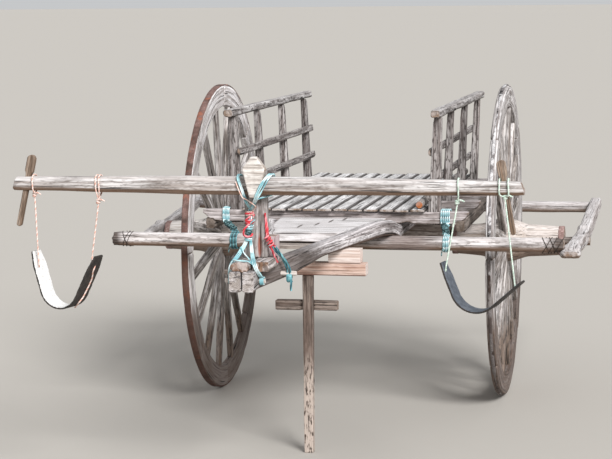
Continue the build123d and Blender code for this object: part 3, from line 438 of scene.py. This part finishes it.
def iron(name, light, mid, dark, patch=30, bright=None, low=None, soft=0.12):
    """Rusty iron: patches of brighter and darker rust, pitted all over.

    Patch is the patches' size in mm, and soft half the width of their borders. Bright is the colour of
    bare spots. Low is a height in mm and the browner colour below it. Real pits are under 1 mm wide, too
    fine to show, so they are drawn 4 mm wide.
    """
    material, tree = blank(name)
    place = add(tree, "ShaderNodeTexCoord", {}).outputs["Object"]
    patches = clouds(tree, place, patch, 4.0, 0.5 - soft, 0.5 + soft)
    darker = clouds(tree, place, 90, 2.0, 0.60 - 0.7 * soft, 0.60 + 0.7 * soft)
    pits = clouds(tree, place, 4, 3.0, 0.4, 0.6)
    colour = mixed(tree, patches, tint(mid), tint(light))
    colour = mixed(tree, times(tree, pits, 0.6), colour, tint(dark))
    colour = mixed(tree, darker, colour, tint(dark))
    if bright:
        colour = mixed(tree, times(tree, clouds(tree, place, 50, 3.0, 0.55, 0.66), 0.7), colour, tint(bright))
    if low:
        level, code = low
        ground = add(tree, "ShaderNodeSeparateXYZ", {0: place}).outputs[2]
        damp = spread(tree, ground, (level + 80) / 1000, (level - 80) / 1000)
        colour = mixed(tree, times(tree, damp, 0.75), colour, tint(code))
    finish_surface(tree, colour, 0.85, pits, 0.6)
    return material


def hoop(node, material, ragged, lost=0.0):
    """Stands in for a node of plain hoops round the axle: uneven edges, and stretches rusted thin.

    The edges are eaten by up to ragged, in mm. Lost, from 0 to 1, says how far the iron is gone in the
    worst stretches.
    """
    ragged /= 1000
    points, faces, around = [], [], 360
    for island in island_meshes(node):
        shape = vectors(island.vertices, "co")
        radii = np.hypot(shape[:, 1] - home.y, shape[:, 2] - axle_z)
        x0, x1 = shape[:, 0].min(), shape[:, 0].max()
        # The iron's radii keep it inside the flats of the solid's round faces
        r0, r1 = radii.min() + 0.0002, radii.max() - 0.0004
        first = len(points)
        for i in range(around):
            angle = 2 * pi * i / around
            u, v, w = cos(angle) * 6.0, sin(angle) * 6.0, x0 * 5.0
            dents = [max(0.0, noise.noise((u * k, v * k, w)) + 0.1) for k in (1.0, 2.3)]
            rusted = noise.noise((u * 0.35, v * 0.35, 7.7)) - 0.16
            gone = lost * max(0.0, min(1.0, 9.0 * rusted))
            left = x0 + ragged * dents[0] + gone * (x1 - x0) * 0.3
            right = x1 - ragged * dents[1] - gone * (x1 - x0) * 0.3
            top = r1 - (r1 - r0) * 0.75 * gone
            ease = (top - r0) * 0.35
            section = ((left, r0), (right, r0), (right, top - ease), (right - ease, top),
                       ((left + right) / 2, top), (left + ease, top), (left, top - ease))
            points += [(x, home.y + r * sin(angle), axle_z + r * cos(angle)) for x, r in section]
        count = len(section)
        for i in range(around):
            here, there = first + i * count, first + (i + 1) % around * count
            for k in range(count):
                after = (k + 1) % count
                faces.append((here + after, here + k, there + k, there + after))
        bpy.data.meshes.remove(island)
    mesh = bpy.data.meshes.new(f"{node}_iron")
    mesh.from_pydata(points, [], faces)
    placed(mesh, node, "rusty_iron", material)


tyre_left_iron = iron("tyre_left_iron", "8f726b", "6e504a", "46332c", bright="98593f", low=(780, "4c3226"))
tyre_right_iron = iron("tyre_right_iron", "cfcccd", "7d7777", "191412", patch=100, bright="e4e1e1",
                       low=(700, "3a2a22"), soft=0.03)
band_iron = iron("band_iron", "bfa39d", "91746f", "5d423c", patch=15)
hoop("tyre_left", tyre_left_iron, ragged=2.0)
hoop("tyre_right", tyre_right_iron, ragged=3.0, lost=1.0)
for side in ("left", "right"):
    hoop(f"nave_bands_{side}", band_iron, ragged=1.0)

# Axle: a squared beam under the shafts with a round arm at each end, hewn from one hardwood timber.
# It lies in the shade, less bleached than the rest.
axle_wood = timber("axle_wood", "b3a9a3", "877b74", "473a32", "6b513e", split=0.8)
weathered("axle", axle_wood)

# Shafts: two bent logs, roughly hewn, that meet at the tongue's tip and run back under the floor.
# They are bleached on top and painted lighter there, grey on their sides, and painted brown where they
# look down, as shade.


def bent(points, edges):
    """Grain coordinates of a bent timber that runs along the cart, from the middles of 60 cross sections."""
    cuts = np.linspace(points[:, 1].min() + 0.001, points[:, 1].max() - 0.001, 60)
    middles = []
    first, last = points[edges[:, 0]], points[edges[:, 1]]
    for cut in cuts:
        hit = (first[:, 1] - cut) * (last[:, 1] - cut) < 0
        share = ((cut - first[hit, 1]) / (last[hit, 1] - first[hit, 1]))[:, None]
        crossing = first[hit] + (last[hit] - first[hit]) * share
        middles.append((crossing.max(0) + crossing.min(0)) / 2)
    middles = np.array(middles)

    def middle_at(y):
        return np.interp(y, cuts, middles[:, 0]), np.interp(y, cuts, middles[:, 2])

    def to_grain(p):
        x, z = middle_at(p[:, 1])
        return np.stack([p[:, 1], p[:, 2] - z, p[:, 0] - x], 1)

    def from_grain(q):
        x, z = middle_at(q[:, 0])
        return np.stack([q[:, 2] + x, q[:, 0], q[:, 1] + z], 1)

    return to_grain, from_grain


tip_shade = [((x, -1950, 850), (140, 500, 100), "5f544f") for x in (-60, 60)]
shaft_wood = timber("shaft_wood", "dcd7d8", "989090", "362b27", "5a4030", split=1.0, mottle=0.6, speckle=0.55,
                    end="a79d97", stains=tip_shade, checks=0.7)
for side in ("left", "right"):
    weathered(f"shaft_{side}", shaft_wood, bent, cell=4.5, wave=3.0, rag=1.0)

# Bars across the cart and outriggers: round and hewn timbers, bleached above and painted lighter there,
# and painted brown below, as shade. The front bar's ends are dark and knotty, and the outriggers are
# notched over both bars' ends.
bar_marks = (((335, -830, 806), (160, 80, 80), "7d6f6a"),
             ((-962, -830, 800), (50, 80, 80), "3a2b21"),
             ((1004, -830, 806), (80, 80, 80), "3a2b21"))
front_wood = timber("front_wood", "dcd6d5", "b0a7a4", "4c3e36", "735640", split=0.9, speckle=0.55,
                    stains=bar_marks)
bar_wood = timber("bar_wood", "e0dcdc", "beb7b6", "5a4c45", "7d6350", split=0.8, end="7d6757")
weathered("front_bar", front_wood, wave=3.0, rag=8.0)
weathered("rear_bar", bar_wood, wave=3.0)
for side in ("left", "right"):
    weathered(f"outrigger_{side}", bar_wood, bent, wave=3.0, rag=4.0)

# Bearers and sills: squared timbers across the shafts and along both sides under the floor, with
# broken ends. The sills lie in the shade and are darker.
bearer_wood = timber("bearer_wood", "dfd7d7", "bdb3b2", "5f524c", "66503e", split=0.8)
sill_wood = timber("sill_wood", "968b83", "71655d", "3a302a", "4a3c31", split=0.8, end="5e5045")
for number in (1, 2, 3, 4):
    weathered(f"bearer_{number}", bearer_wood, wave=3.0, rag=6.0)
for side in ("left", "right"):
    weathered(f"sill_{side}", sill_wood, wave=3.0, rag=6.0)

# Floor: thin slats along the cart, bleached almost white, with the gaps between them darkened by
# painted shade on the slats' sides and along both their edges, and the loose pole on them.
# Painted shade in the gaps: the slats' sides take the dark colour under, and strips 8.5 mm wide along both
# edges are darkened like the hollows
slat_wood = timber("slat_wood", "faf8f8", "e2dfdf", "352d29", "3f362f", split=0.9, mottle=0.3, speckle=0.3,
                   turn=(0.75, 0.3), groove=0.85)
weathered("floor_slats", slat_wood, cell=4.4, stretch=5.0, wave=1.5, edge=8.5)
pole_wood = timber("pole_wood", "b5aeaa", "8a7f79", "4d413a", "57483c", split=0.8, end="b0622c")
weathered("floor_pole", pole_wood, rag=1.0)

# Side panels: posts that stand in the bearers, with two rails and a cap rail along their tops. Their
# wood is darker than the tongue's, and speckled.
panel_wood = timber("panel_wood", "bfb9b7", "8b817e", "332925", "4c3f37", split=1.0, speckle=0.8, vary=0.35)
cap_wood = timber("cap_wood", "ccc8c7", "938c8a", "3a302c", "4c3f37", split=1.0, speckle=0.8)
for side in ("left", "right"):
    weathered(f"panel_posts_{side}", panel_wood, cell=4.0, wave=1.2)
    weathered(f"panel_rails_{side}", panel_wood, cell=4.0, wave=1.2, rag=8.0)
    weathered(f"panel_cap_{side}", cap_wood, wave=3.0, rag=8.0)

# Tongue: two boards let into the shafts, with battens, two pegs through the tip, the boards of end
# grain on it and the chock behind the post. The upper board is pale, with a few short cracks.
board_cracks = [((x, y, 903), (8, 70, 30), "3a2d26")
                for x, y in ((-22, -997), (16, -878), (62, -795), (-79, -1078))]
board_wood = timber("board_wood", "e8e5e6", "d8d2d2", "6c5f57", "75604f", split=1.0, mottle=0.15,
                    speckle=0.2, stains=board_cracks)
strip_wood = timber("strip_wood", "b3a9a2", "85786f", "3f322a", "55412f", split=1.0)
weathered("tongue_board_1", board_wood, lambda points, edges: straight(points, edges, turned=True), cell=4.5)
for name in ("tongue_board_2", "tongue_battens_1", "tongue_battens_2"):
    weathered(name, strip_wood, cell=3.5)
tip_wood = timber("tip_wood", "d6cfcd", "998e89", "352922", "5b4637", split=1.0, end="8d6c57", checks=0.6)
weathered("tongue_cap", tip_wood, cell=3.0, wave=2.5, rag=4.0)
chock_wood = timber("chock_wood", "d9cccc", "b9a3a5", "7a6064", "6d5643", split=0.8, mottle=0.3, speckle=0.2)
weathered("post_chock", chock_wood, cell=3.5, rag=1.0)
peg_stain = (((-152, -2080, 830), (35, 40, 40), "6b5d53"),)
peg_wood = timber("peg_wood", "e0dad6", "c6bbb3", "9a877a", split=0.2, mottle=0.1, speckle=0.1, end="e4dfda",
                  stains=peg_stain)
weathered("tongue_pegs", peg_wood, cell=3.0, wave=0.5, worn=0.4, rag=0.5)

# Yoke: a long bevelled pole, thinner towards its ends, lashed to its hooked post. It is almost white on
# top, partly painted light, and painted brown beneath, as shade. Its left end slants: the top of the end
# lies 14 mm further in than the bottom.
yoke_wood = timber("yoke_wood", "dfdbda", "b3a9a4", "54473f", "75573f", split=0.8, mottle=0.3, end="8b7464")
yoke = weathered("yoke", yoke_wood, cell=4.0, stretch=4.0)
end_x, end_foot, end_height, end_slope = home.x - 0.924, 1.160, 0.05, 0.28
places = vectors(yoke.data.vertices, "co")
slant = end_x + np.clip(places[:, 2] - end_foot, 0.0, end_height) * end_slope
places[:, 0] = np.maximum(places[:, 0], slant)
yoke.data.vertices.foreach_set("co", places.ravel())

# Yoke post: a squared timber with rust run down it. The grain of its pale head, a board of its own
# before the yoke, lies crosswise.
rust_run = (((-6, -2167, 955), (10, 30, 55), "8a3d22"),)
post_wood = timber("post_wood", "c8c2c0", "948b88", "463932", "4d3d31", split=1.0, stains=rust_run)
head_wood = timber("head_wood", "e6e1dc", "d6cec7", "7d7067", "8f7d6d", split=0.5, mottle=0.25, speckle=0.3)
post = weathered("yoke_post", post_wood, cell=3.5, stretch=1.2, rag=1.0)
# All of the post before this plane is the head
head_back = home.y - 2.232
post_grain, post_wear_and_shade = (post.data.attributes[name].data for name in ("grain", "wear_and_shade"))
grains, wear_and_shade_rows = vectors(post_grain, "vector"), vectors(post_wear_and_shade, "vector")
head = vectors(post.data.vertices, "co")[:, 1] < head_back
# The head's grain coordinates change places, and 0.7 m further on they meet another part of the pattern
grains[head] = grains[head][:, [2, 1, 0]] + np.array([0.0, 0.7, 0.0])
wear_and_shade_rows[head, 0] = np.abs(vectors(post.data.vertices, "normal")[head, 0])
post_grain.foreach_set("vector", grains.ravel())
post_wear_and_shade.foreach_set("vector", wear_and_shade_rows.ravel())
post.data.materials.append(head_wood)
head_faces = vectors(post.data.polygons, "center")[:, 1] < head_back
post.data.polygons.foreach_set("material_index", head_faces.astype(np.int32))

# Yoke pins: driven down through the yoke near its ends, a flat paddle above it and a stick below it,
# both leaning a little. Their brown wood is less weathered than the yoke's.


def leaning(points, edges):
    """Grain coordinates of a straight timber that leans."""
    middle = points.mean(0)
    axes = np.linalg.svd(points - middle, full_matrices=False)[2]
    axes[2] = np.cross(axes[0], axes[1])
    return along_axes(middle, axes)


pin_wood = timber("pin_wood", "b09d8d", "7b6350", "443326", speckle=0.2)
for side in ("left", "right"):
    weathered(f"yoke_pin_{side}", pin_wood, leaning, cell=3.0, wave=1.0, worn=0.6, rag=1.0)

# Neck straps: two lengths of old rubber belting that hang in a curve. The left one is painted white
# inside, the right one is slate grey inside with pale scuffs, and both are black outside.


def rubber(name, base, scuffed, dirt, amount):
    """Old rubber belting: dull, with scuffed patches and dirt."""
    material, tree = blank(name)
    place = add(tree, "ShaderNodeTexCoord", {}).outputs["Object"]
    scuffs = times(tree, clouds(tree, place, 20, 4.0, 0.42, 0.66), amount)
    colour = mixed(tree, scuffs, tint(base), tint(scuffed))
    colour = mixed(tree, times(tree, clouds(tree, place, 8, 4.0, 0.52, 0.75), 0.7), colour, tint(dirt))
    finish_surface(tree, colour, 0.75, clouds(tree, place, 4, 3.0, 0.3, 0.7), 0.5)
    return material


def belting(side, inner, outer):
    """Stands in for a neck strap. Its inside looks within 70 degrees of the point between its ends."""
    node = f"neck_strap_{side}"
    island = island_meshes(node)[0]
    mesh = remeshed(island, 0.0032)
    bpy.data.meshes.remove(island)
    mesh.name = f"{node}_belt"
    points = vectors(mesh.vertices, "co")
    low, high = points.min(0), points.max(0)
    middle = Vector(((low[0] + high[0]) / 2, (low[1] + high[1]) / 2, high[2]))
    cos_70 = 0.35
    inside = [int(face.normal.dot((middle - face.center).normalized()) > cos_70) for face in mesh.polygons]
    mesh.polygons.foreach_set("material_index", inside)
    placed(mesh, node, "strap_rubber", outer, inner)


strap_black = rubber("strap_black", "221e1b", "453c37", "110e0d", 0.6)
strap_white = rubber("strap_white", "dededd", "d2d0ce", "9a928a", 0.8)
strap_slate = rubber("strap_slate", "464c55", "656b74", "232427", 0.8)
belting("left", strap_white, strap_black)
belting("right", strap_slate, strap_black)

# Neck cords: thin twisted cord, round the yoke once or twice, knotted under it, down through a hole
# near the strap's end and onto the strap. Pink ones hang on the left, pale green ones on the right,
# and the pink cord also runs down the outside of the strap.

# Tree for all rope and cord: three strands that wind round each other along a path, a turn per lay.
# A ring of twelve points, every 4 mm along the path, bulges once for each strand.
rope_group = bpy.data.node_groups.new("twisted_rope", "GeometryNodeTree")
for socket_name, kind in (("Path", "Geometry"), ("Radius", "Float"), ("Lay", "Float"), ("Fibre", "Material")):
    rope_group.interface.new_socket(socket_name, in_out="INPUT", socket_type=f"NodeSocket{kind}")
rope_group.interface.new_socket("Rope", in_out="OUTPUT", socket_type="NodeSocketGeometry")
given = add(rope_group, "NodeGroupInput", {})
bare = add(rope_group, "GeometryNodeMeshToCurve", {0: given.outputs["Path"]})
smooth = add(rope_group, "GeometryNodeCurveSplineType", {0: bare.outputs[0]}, spline_type="CATMULL_ROM")
even = add(rope_group, "GeometryNodeResampleCurve", {"Curve": smooth.outputs[0], "Length": 0.004},
           mode="LENGTH")
travelled = add(rope_group, "GeometryNodeSplineParameter", {}).outputs["Length"]
lays = add(rope_group, "ShaderNodeMath", {0: travelled, 1: given.outputs["Lay"]}, operation="DIVIDE")
twisted = add(rope_group, "GeometryNodeSetCurveTilt", {
    "Curve": even.outputs[0], "Tilt": times(rope_group, lays.outputs[0], 2 * pi)})
ring = add(rope_group, "GeometryNodeCurvePrimitiveCircle", {
    "Resolution": 12, "Radius": given.outputs["Radius"]})
number = add(rope_group, "GeometryNodeInputIndex", {}).outputs[0]
lobe = add(rope_group, "ShaderNodeMath", {0: times(rope_group, number, pi / 2)}, operation="COSINE")
bulge = add(rope_group, "ShaderNodeMath", {0: times(rope_group, lobe.outputs[0], 0.13), 1: 0.87},
            operation="ADD")
spot = add(rope_group, "GeometryNodeInputPosition", {}).outputs[0]
bulged = add(rope_group, "ShaderNodeVectorMath", {0: spot, "Scale": bulge.outputs[0]}, operation="SCALE")
profile = add(rope_group, "GeometryNodeSetPosition", {
    "Geometry": ring.outputs[0], "Position": bulged.outputs[0]})
strand = add(rope_group, "ShaderNodeMath", {0: times(rope_group, number, 0.25)}, operation="FLOOR")
marked = add(rope_group, "GeometryNodeStoreNamedAttribute", {
    "Geometry": profile.outputs[0], "Name": "strand", "Value": strand.outputs[0]},
    data_type="FLOAT", domain="POINT")
tube = add(rope_group, "GeometryNodeCurveToMesh", {
    "Curve": twisted.outputs[0], "Profile Curve": marked.outputs[0], "Fill Caps": True})
whole = add(rope_group, "GeometryNodeRealizeInstances", {0: tube.outputs[0]})
painted = add(rope_group, "GeometryNodeSetMaterial", {
    "Geometry": whole.outputs[0], "Material": given.outputs["Fibre"]})
add(rope_group, "NodeGroupOutput", {0: painted.outputs[0]})


def fibre(name, first, second, third, dirt="3a3b36"):
    """Rope fibre: each of the three strands in its own colour, dirty in patches."""
    material, tree = blank(name)
    strand = add(tree, "ShaderNodeAttribute", {}, attribute_name="strand").outputs["Fac"]
    place = add(tree, "ShaderNodeTexCoord", {}).outputs["Object"]
    colour = mixed(tree, spread(tree, strand, 0.3, 0.7), tint(first), tint(second))
    colour = mixed(tree, spread(tree, strand, 1.3, 1.7), colour, tint(third))
    colour = mixed(tree, times(tree, clouds(tree, place, 20, 3.0, 0.50, 0.75), 0.6), colour, tint(dirt))
    finish_surface(tree, colour, 0.9)
    return material


def spun(name, paths, radius, material, replaced=(), lay=30):
    """One piece of rigging on the cart's body, with its paths, radius and lay in mm.

    Paths are measured from the ground under the axle's middle.
    """
    mesh = bpy.data.meshes.new("paths")
    points, edges = [], []
    for path in paths:
        edges += [(len(points) + i, len(points) + i + 1) for i in range(len(path) - 1)]
        points += [home + Vector(point) / 1000 for point in path]
    mesh.from_pydata(points, edges, [])
    holder = bpy.data.objects.new("holder", mesh)
    bpy.context.scene.collection.objects.link(holder)
    twist = holder.modifiers.new("twist", "NODES")
    twist.node_group = rope_group
    values = {"Radius": radius / 1000, "Lay": lay / 1000, "Fibre": material}
    for item in rope_group.interface.items_tree:
        if item.name in values:
            twist[item.identifier] = values[item.name]
    bpy.context.view_layer.update()
    result = bpy.data.meshes.new_from_object(holder.evaluated_get(bpy.context.evaluated_depsgraph_get()))
    bpy.data.objects.remove(holder)
    result.name = name
    result.polygons.foreach_set("use_smooth", [True] * len(result.polygons))
    piece = bpy.data.objects.new(name, result)
    bpy.context.scene.collection.objects.link(piece)
    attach(piece, frame["nodes"]["yoke"]["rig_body"])
    if replaced:
        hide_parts(*replaced)


def coil(start, end, radius, turns):
    """Points of a rope wound round the line from start to end, in mm."""
    steps = 10
    start, end = Vector(start), Vector(end)
    axis = (end - start).normalized()
    side = axis.cross(Vector((0.3, 1.0, 0.2))).normalized()
    count = int(turns * steps)
    return [start.lerp(end, i / count) + radius * (side * cos(2 * pi * i / steps)
                                                   + axis.cross(side) * sin(2 * pi * i / steps))
            for i in range(count + 1)]


cord_pink = fibre("cord_pink", "e6cfc5", "d9a897", "efdfd8", "9a7d6d")
cord_green = fibre("cord_green", "bfd4c6", "dde7dd", "cbdacb", "6f8274")
# For each side the cord and its two hanging ends: the places of the turns along the yoke, the knot
# and the point at the strap's hole
cords = {
    "left": (cord_pink, (((-845,), (-844, -2208, 1140), (-837, -2200, 885)),
                         ((-604, -592), (-599, -2212, 1118), (-630, -2200, 909)))),
    "right": (cord_green, (((723,), (719, -2210, 1131), (678, -2200, 893)),
                           ((868, 899), (888, -2214, 1150), (920, -2200, 848)))),
}
outside_strap = [(-612, -2212, 896), (-612, -2232, 876), (-619, -2234, 857), (-628, -2219, 832),
                 (-641, -2215, 805), (-653, -2216, 782), (-665, -2217, 760), (-679, -2222, 741),
                 (-703, -2195, 719)]
for side, (material, hung) in cords.items():
    paths = []
    for turns, (x, y, z), (foot_x, foot_y, foot_z) in hung:
        for turn in turns:
            paths.append([(x + 2, y, z), (turn + 2, -2230, 1158), (turn + 1, -2233, 1196),
                          (turn, -2216, 1210), (turn - 1, -2186, 1210), (turn - 2, -2167, 1192),
                          (turn - 2, -2168, 1160), (x - 2, y + 8, z)])
        paths.append([(x, y, z + 6), (x, y, z - 10), (foot_x, foot_y - 2, foot_z + 4),
                      (foot_x, foot_y + 4, foot_z - 4)])
        paths.append(coil((x, y, z + 5), (x, y, z - 9), 6, 2.5))
        paths.append([(x + 3, y - 6, z + 4), (x + 14, y - 9, z + 6), (x + 26, y - 6, z)])
    if side == "left":
        paths.append(outside_strap)
    spun(f"neck_cords_{side}_spun", paths, 3.4, material, (f"neck_cords_{side}",), lay=24)

# Lashings of the front bar: turns of thin faded rope over the first bearer, drawn together by a dark,
# untidy knot, and round the bar. The left one has slipped to the right on its way down. Its turns round
# the bar, under the bearer, are teal and every second one dark: painted shade on rope that is pale over
# the bearer.
rope_pale = fibre("rope_pale", "a4d0d6", "e4f2f4", "6ea9b3", "4a6f75")
rope_teal = fibre("rope_teal", "4f8790", "7db1b8", "356570", "203c42")
rope_dark = fibre("rope_dark", "3a5658", "6a8f93", "203638", "121c1d")
# Columns: side, middle of the turns over the bearer and their spacing, the knot's upper and lower end,
# the turns round the bar, and those turns' radius and two ropes. All places are along the bar
# The left one's two ropes round the bar are teal and dark: painted shade
lashings = (("left", -480, 6.2, -474, -428, [-419 + 6.5 * k for k in (-2, -1, 0, 1, 2)],
             3.1, rope_teal, rope_dark),
            ("right", 489, 8.4, 489, 501, [507 + 6.8 * k for k in (-1.5, -0.5, 0.5, 1.5)],
             2.8, rope_pale, rope_pale))
for side, top, step, high, low, rounds, radius, first, second in lashings:
    upper, lower, knots = [], [], []
    for k in (-2, -1, 0, 1, 2):
        x, knot_x = top + k * step, high + k * 3.0
        upper.append([(knot_x, -756, 866), (x, -715, 873), (x, -672, 874), (x, -661, 885), (x, -661, 925),
                      (x, -672, 937), (x, -728, 937), (x, -739, 926), (x, -739, 888), (knot_x, -760, 868)])
    for k, x in enumerate(rounds):
        knot_x = low + (k - 2) * 3.0
        lower.append([(knot_x, -790, 850), (x, -822, 843), (x, -855, 831), (x, -866, 806), (x, -855, 781),
                      (x, -830, 771), (x, -804, 781), (x, -793, 806), (x, -790, 828), (knot_x, -782, 848)])
    middle = (high + low) / 2
    for k, (lean, bulk, rise) in enumerate(((0, 13, 0), (5, 11, -3), (-6, 12, 3), (3, 9, -1))):
        knots.append(coil((high + lean * 0.6, -752, 876 + rise), (low - lean * 0.6, -794, 850 - rise),
                          bulk, 3 + 0.7 * k))
    knots.append([(high - 8, -768, 880), (middle + 8, -786, 862), (low - 12, -800, 846),
                  (low - 10, -826, 848)])
    knots.append([(high + 10, -766, 876), (middle - 10, -784, 868), (low + 6, -806, 852),
                  (low + 14, -822, 846)])
    knots.append([(rounds[0], -864, 790), (rounds[0] - 5, -868, 776), (rounds[0] - 7, -866, 758)])
    spun(f"lashing_{side}_bearer", upper, 3.6, rope_pale, replaced=(f"lashing_{side}",), lay=26)
    spun(f"lashing_{side}_bar", lower[::2], radius, first, lay=26)
    spun(f"lashing_{side}_turns", lower[1::2], radius, second, lay=26)
    spun(f"lashing_{side}_knots", knots, 3.0, rope_dark, lay=22)

# Yoke lashing: pale rope over the yoke on either side of the post's head, drawn together before the
# post by a long knot, with two legs to each end of the front peg.
paths = []
# Two turns on the left of the head
for k in (0, 1):
    shift = 5.5 * k
    paths.append([(-36 + shift * 0.4, -2190, 1094), (-43 + shift, -2222, 1118), (-48 + shift, -2240, 1146),
                  (-60 + shift, -2241, 1180), (-69 + shift, -2239, 1204), (-72 + shift, -2226, 1216),
                  (-73 + shift, -2200, 1218), (-73 + shift, -2172, 1212), (-72 + shift, -2161, 1190),
                  (-70 + shift, -2160, 1150), (-58 + shift, -2176, 1130), (-40, -2190, 1098)])
# Three turns on its right, the third of them behind the others
for k in (0, 1, 2):
    shift, back = 7 * k, 16 * (k == 2)
    paths.append([(-33 + shift * 0.3, -2192, 1092), (-14 + shift * 0.6, -2235, 1118),
                  (-2 + shift * 0.8, -2264, 1138), (11 + shift * 0.9, -2276 + back, 1164),
                  (24 + shift, -2276 + back, 1190), (33 + shift * 0.9, -2262 + back, 1206),
                  (38 + shift, -2234, 1217), (40 + shift, -2200, 1221), (39 + shift, -2172, 1213),
                  (38 + shift, -2160, 1190), (37 + shift, -2160, 1152), (30 + shift * 0.5, -2190, 1141),
                  (6, -2212, 1134), (-14, -2212, 1120), (-30, -2194, 1098)])
# The knot's three parallel ropes, and the legs that go down from them, three ropes to each
for k in (-1, 0, 1):
    paths.append([(-37 + 5 * k, -2186, 1092), (-37 + 6 * k, -2188, 1060), (-39 + 6 * k, -2188, 1030),
                  (-42 + 6 * k, -2188, 1000), (-46 + 7 * k, -2188, 976)])
for k in (0, 1, 2):
    paths.append([(-50 + 4 * k, -2190, 984), (-60 + 5 * k, -2194, 964), (-72 + 6 * k, -2202, 944),
                  (-86 + 6 * k, -2214, 920), (-101 + 6 * k, -2228, 898), (-106 + 6 * k, -2242, 866),
                  *coil((-104 + 6 * k, -2235, 838), (-101 + 6 * k, -2235, 838), 13, 1)])
    paths.append([(-38 + 3 * k, -2191, 980), (-32 + 4 * k, -2203, 945), (-22 + 5 * k, -2234, 922),
                  (-10 + 6 * k, -2275, 907), (1 + 5 * k, -2278, 884), (9 + 5 * k, -2260, 862),
                  *coil((11 + 5 * k, -2235, 838), (14 + 5 * k, -2235, 838), 13, 1)])
# Turns round the knot, loose ends, and two ropes across between the legs
paths += [
    coil((-39, -2187, 1030), (-40, -2187, 1019), 12, 1.5),
    coil((-42, -2188, 988), (-44, -2188, 978), 12, 1.5),
    [(-32, -2200, 1042), (-22, -2204, 1050), (-14, -2204, 1056)],
    [(-32, -2200, 1030), (-20, -2204, 1034)],
    [(-70, -2200, 955), (-54, -2215, 935), (-32, -2240, 920), (-12, -2276, 907)],
    [(-90, -2226, 905), (-82, -2262, 915), (-62, -2288, 917), (-40, -2292, 917), (-22, -2290, 915),
     (-8, -2278, 903)],
]
spun("yoke_lashing_pale", paths, 3.0, rope_pale, replaced=("yoke_lashing",), lay=110)
dark_turns = [coil((-40, -2189, 1018), (-41, -2189, 1002), 9, 3),
              coil((-42, -2188, 996), (-43, -2188, 988), 11, 1.5)]
spun("yoke_lashing_dark", dark_turns, 3.8, rope_dark)
pink_turns = [
    [(-76, -2239, 1196), (-66, -2243, 1172), (-52, -2245, 1142), (-44, -2242, 1136), (-30, -2240, 1128),
     (-13, -2246, 1118), (-6, -2226, 1105), (-16, -2204, 1094)],
    coil((-37, -2187, 1086), (-37, -2187, 1064), 14, 2),
]
spun("yoke_cord", pink_turns, 2.8, cord_pink)

# Red rope: a few turns in the knot, and a doubled piece down the post's side, knotted to a doubled
# teal rope that goes to the rear peg.
rope_red = fibre("rope_red", "d23742", "e08d93", "b22a35", "7d2a30")
red_paths = [
    coil((-37, -2187, 1080), (-37, -2187, 1070), 15, 1),
    coil((-38, -2187, 1052), (-38, -2187, 1040), 13, 1.5),
    [(-30, -2202, 1068), (-44, -2203, 1058), (-50, -2198, 1050)],
    [(-36, -2199, 1040), (-48, -2203, 1028), (-57, -2203, 1014), (-55, -2205, 999), (-45, -2205, 994),
     (-30, -2203, 995), (-26, -2197, 1004)],
    [(17, -2176, 1078), (20, -2178, 1045), (21, -2179, 1014), (24, -2179, 987)],
    [(19, -2174, 1060), (24, -2176, 1030), (27, -2178, 1005), (28, -2178, 985)],
    coil((22, -2180, 994), (44, -2172, 952), 9, 4),
    [(38, -2176, 952), (44, -2164, 928), (48, -2146, 905), (53, -2136, 893)],
]
spun("rope_red", red_paths, 4.2, rope_red, lay=60)
teal_paths = [
    [(41, -2176, 958), (54, -2152, 932), (68, -2120, 904), (78, -2096, 868),
     *coil((78, -2080, 829), (86, -2080, 829), 14, 1.5)],
    [(54, -2172, 954), (68, -2140, 920), (82, -2110, 888), (91, -2096, 860),
     *coil((86, -2080, 829), (93, -2080, 829), 14, 1.5)],
    [(92, -2094, 832), (93, -2092, 806), (92, -2090, 782)],
]
spun("rope_to_rear_peg", teal_paths, 4.6, rope_teal, lay=90)

# Wire: thin iron wire, dark with rust, wound round both ends of the front bar in a few slanting
# turns.
wire_iron = iron("wire_iron", "4a3a32", "30261f", "1b1512")
bar_y, bar_z, bar_radius = -830, 807, 33
wires = []
# Columns: where the turns start and stop along the bar, how many there are and how far they slant
for start, stop, turns, lean in ((-920, -890, 2, 12), (-885, -915, 1, -10), (915, 990, 3, 14),
                                 (985, 925, 2, -12)):
    count = 24 * turns
    wires.append([(start + (stop - start) * i / count + lean * cos(i * pi / 12),
                   bar_y + bar_radius * sin(i * pi / 12),
                   bar_z + bar_radius * cos(i * pi / 12)) for i in range(count + 1)])
spun("bar_wire", wires, 1.6, wire_iron)

# Prop: a T of sawn timber under the tongue. Its post is dark but for its foot, its beam is pinkish
# with white sawn ends, painted light, and a pale packing block lies on it.
prop_wood = timber("prop_wood", "a3948a", "74635a", "3f3129", split=0.7)
foot_wood = timber("prop_post_wood", "a3948a", "74635a", "3f3129", split=0.7, low=(360, "c4b5aa"))
# The beam's white sawn ends are painted light
beam_wood = timber("beam_wood", "e0c9bc", "c9a999", "8a6454", "6a4334", split=0.4, speckle=0.15, end="e2d8d3")
block_wood = timber("block_wood", "e6dcd6", "d9c8be", "b0968a", "8a6a5a", split=0.3, mottle=0.2, speckle=0.1,
                    end="d9c6bd")
for name, wood in (("prop_post", foot_wood), ("prop_beam", beam_wood), ("prop_block", block_wood),
                   ("prop_board", prop_wood)):
    weathered(name, wood, cell=3.5, wave=1.2, rag=1.0)
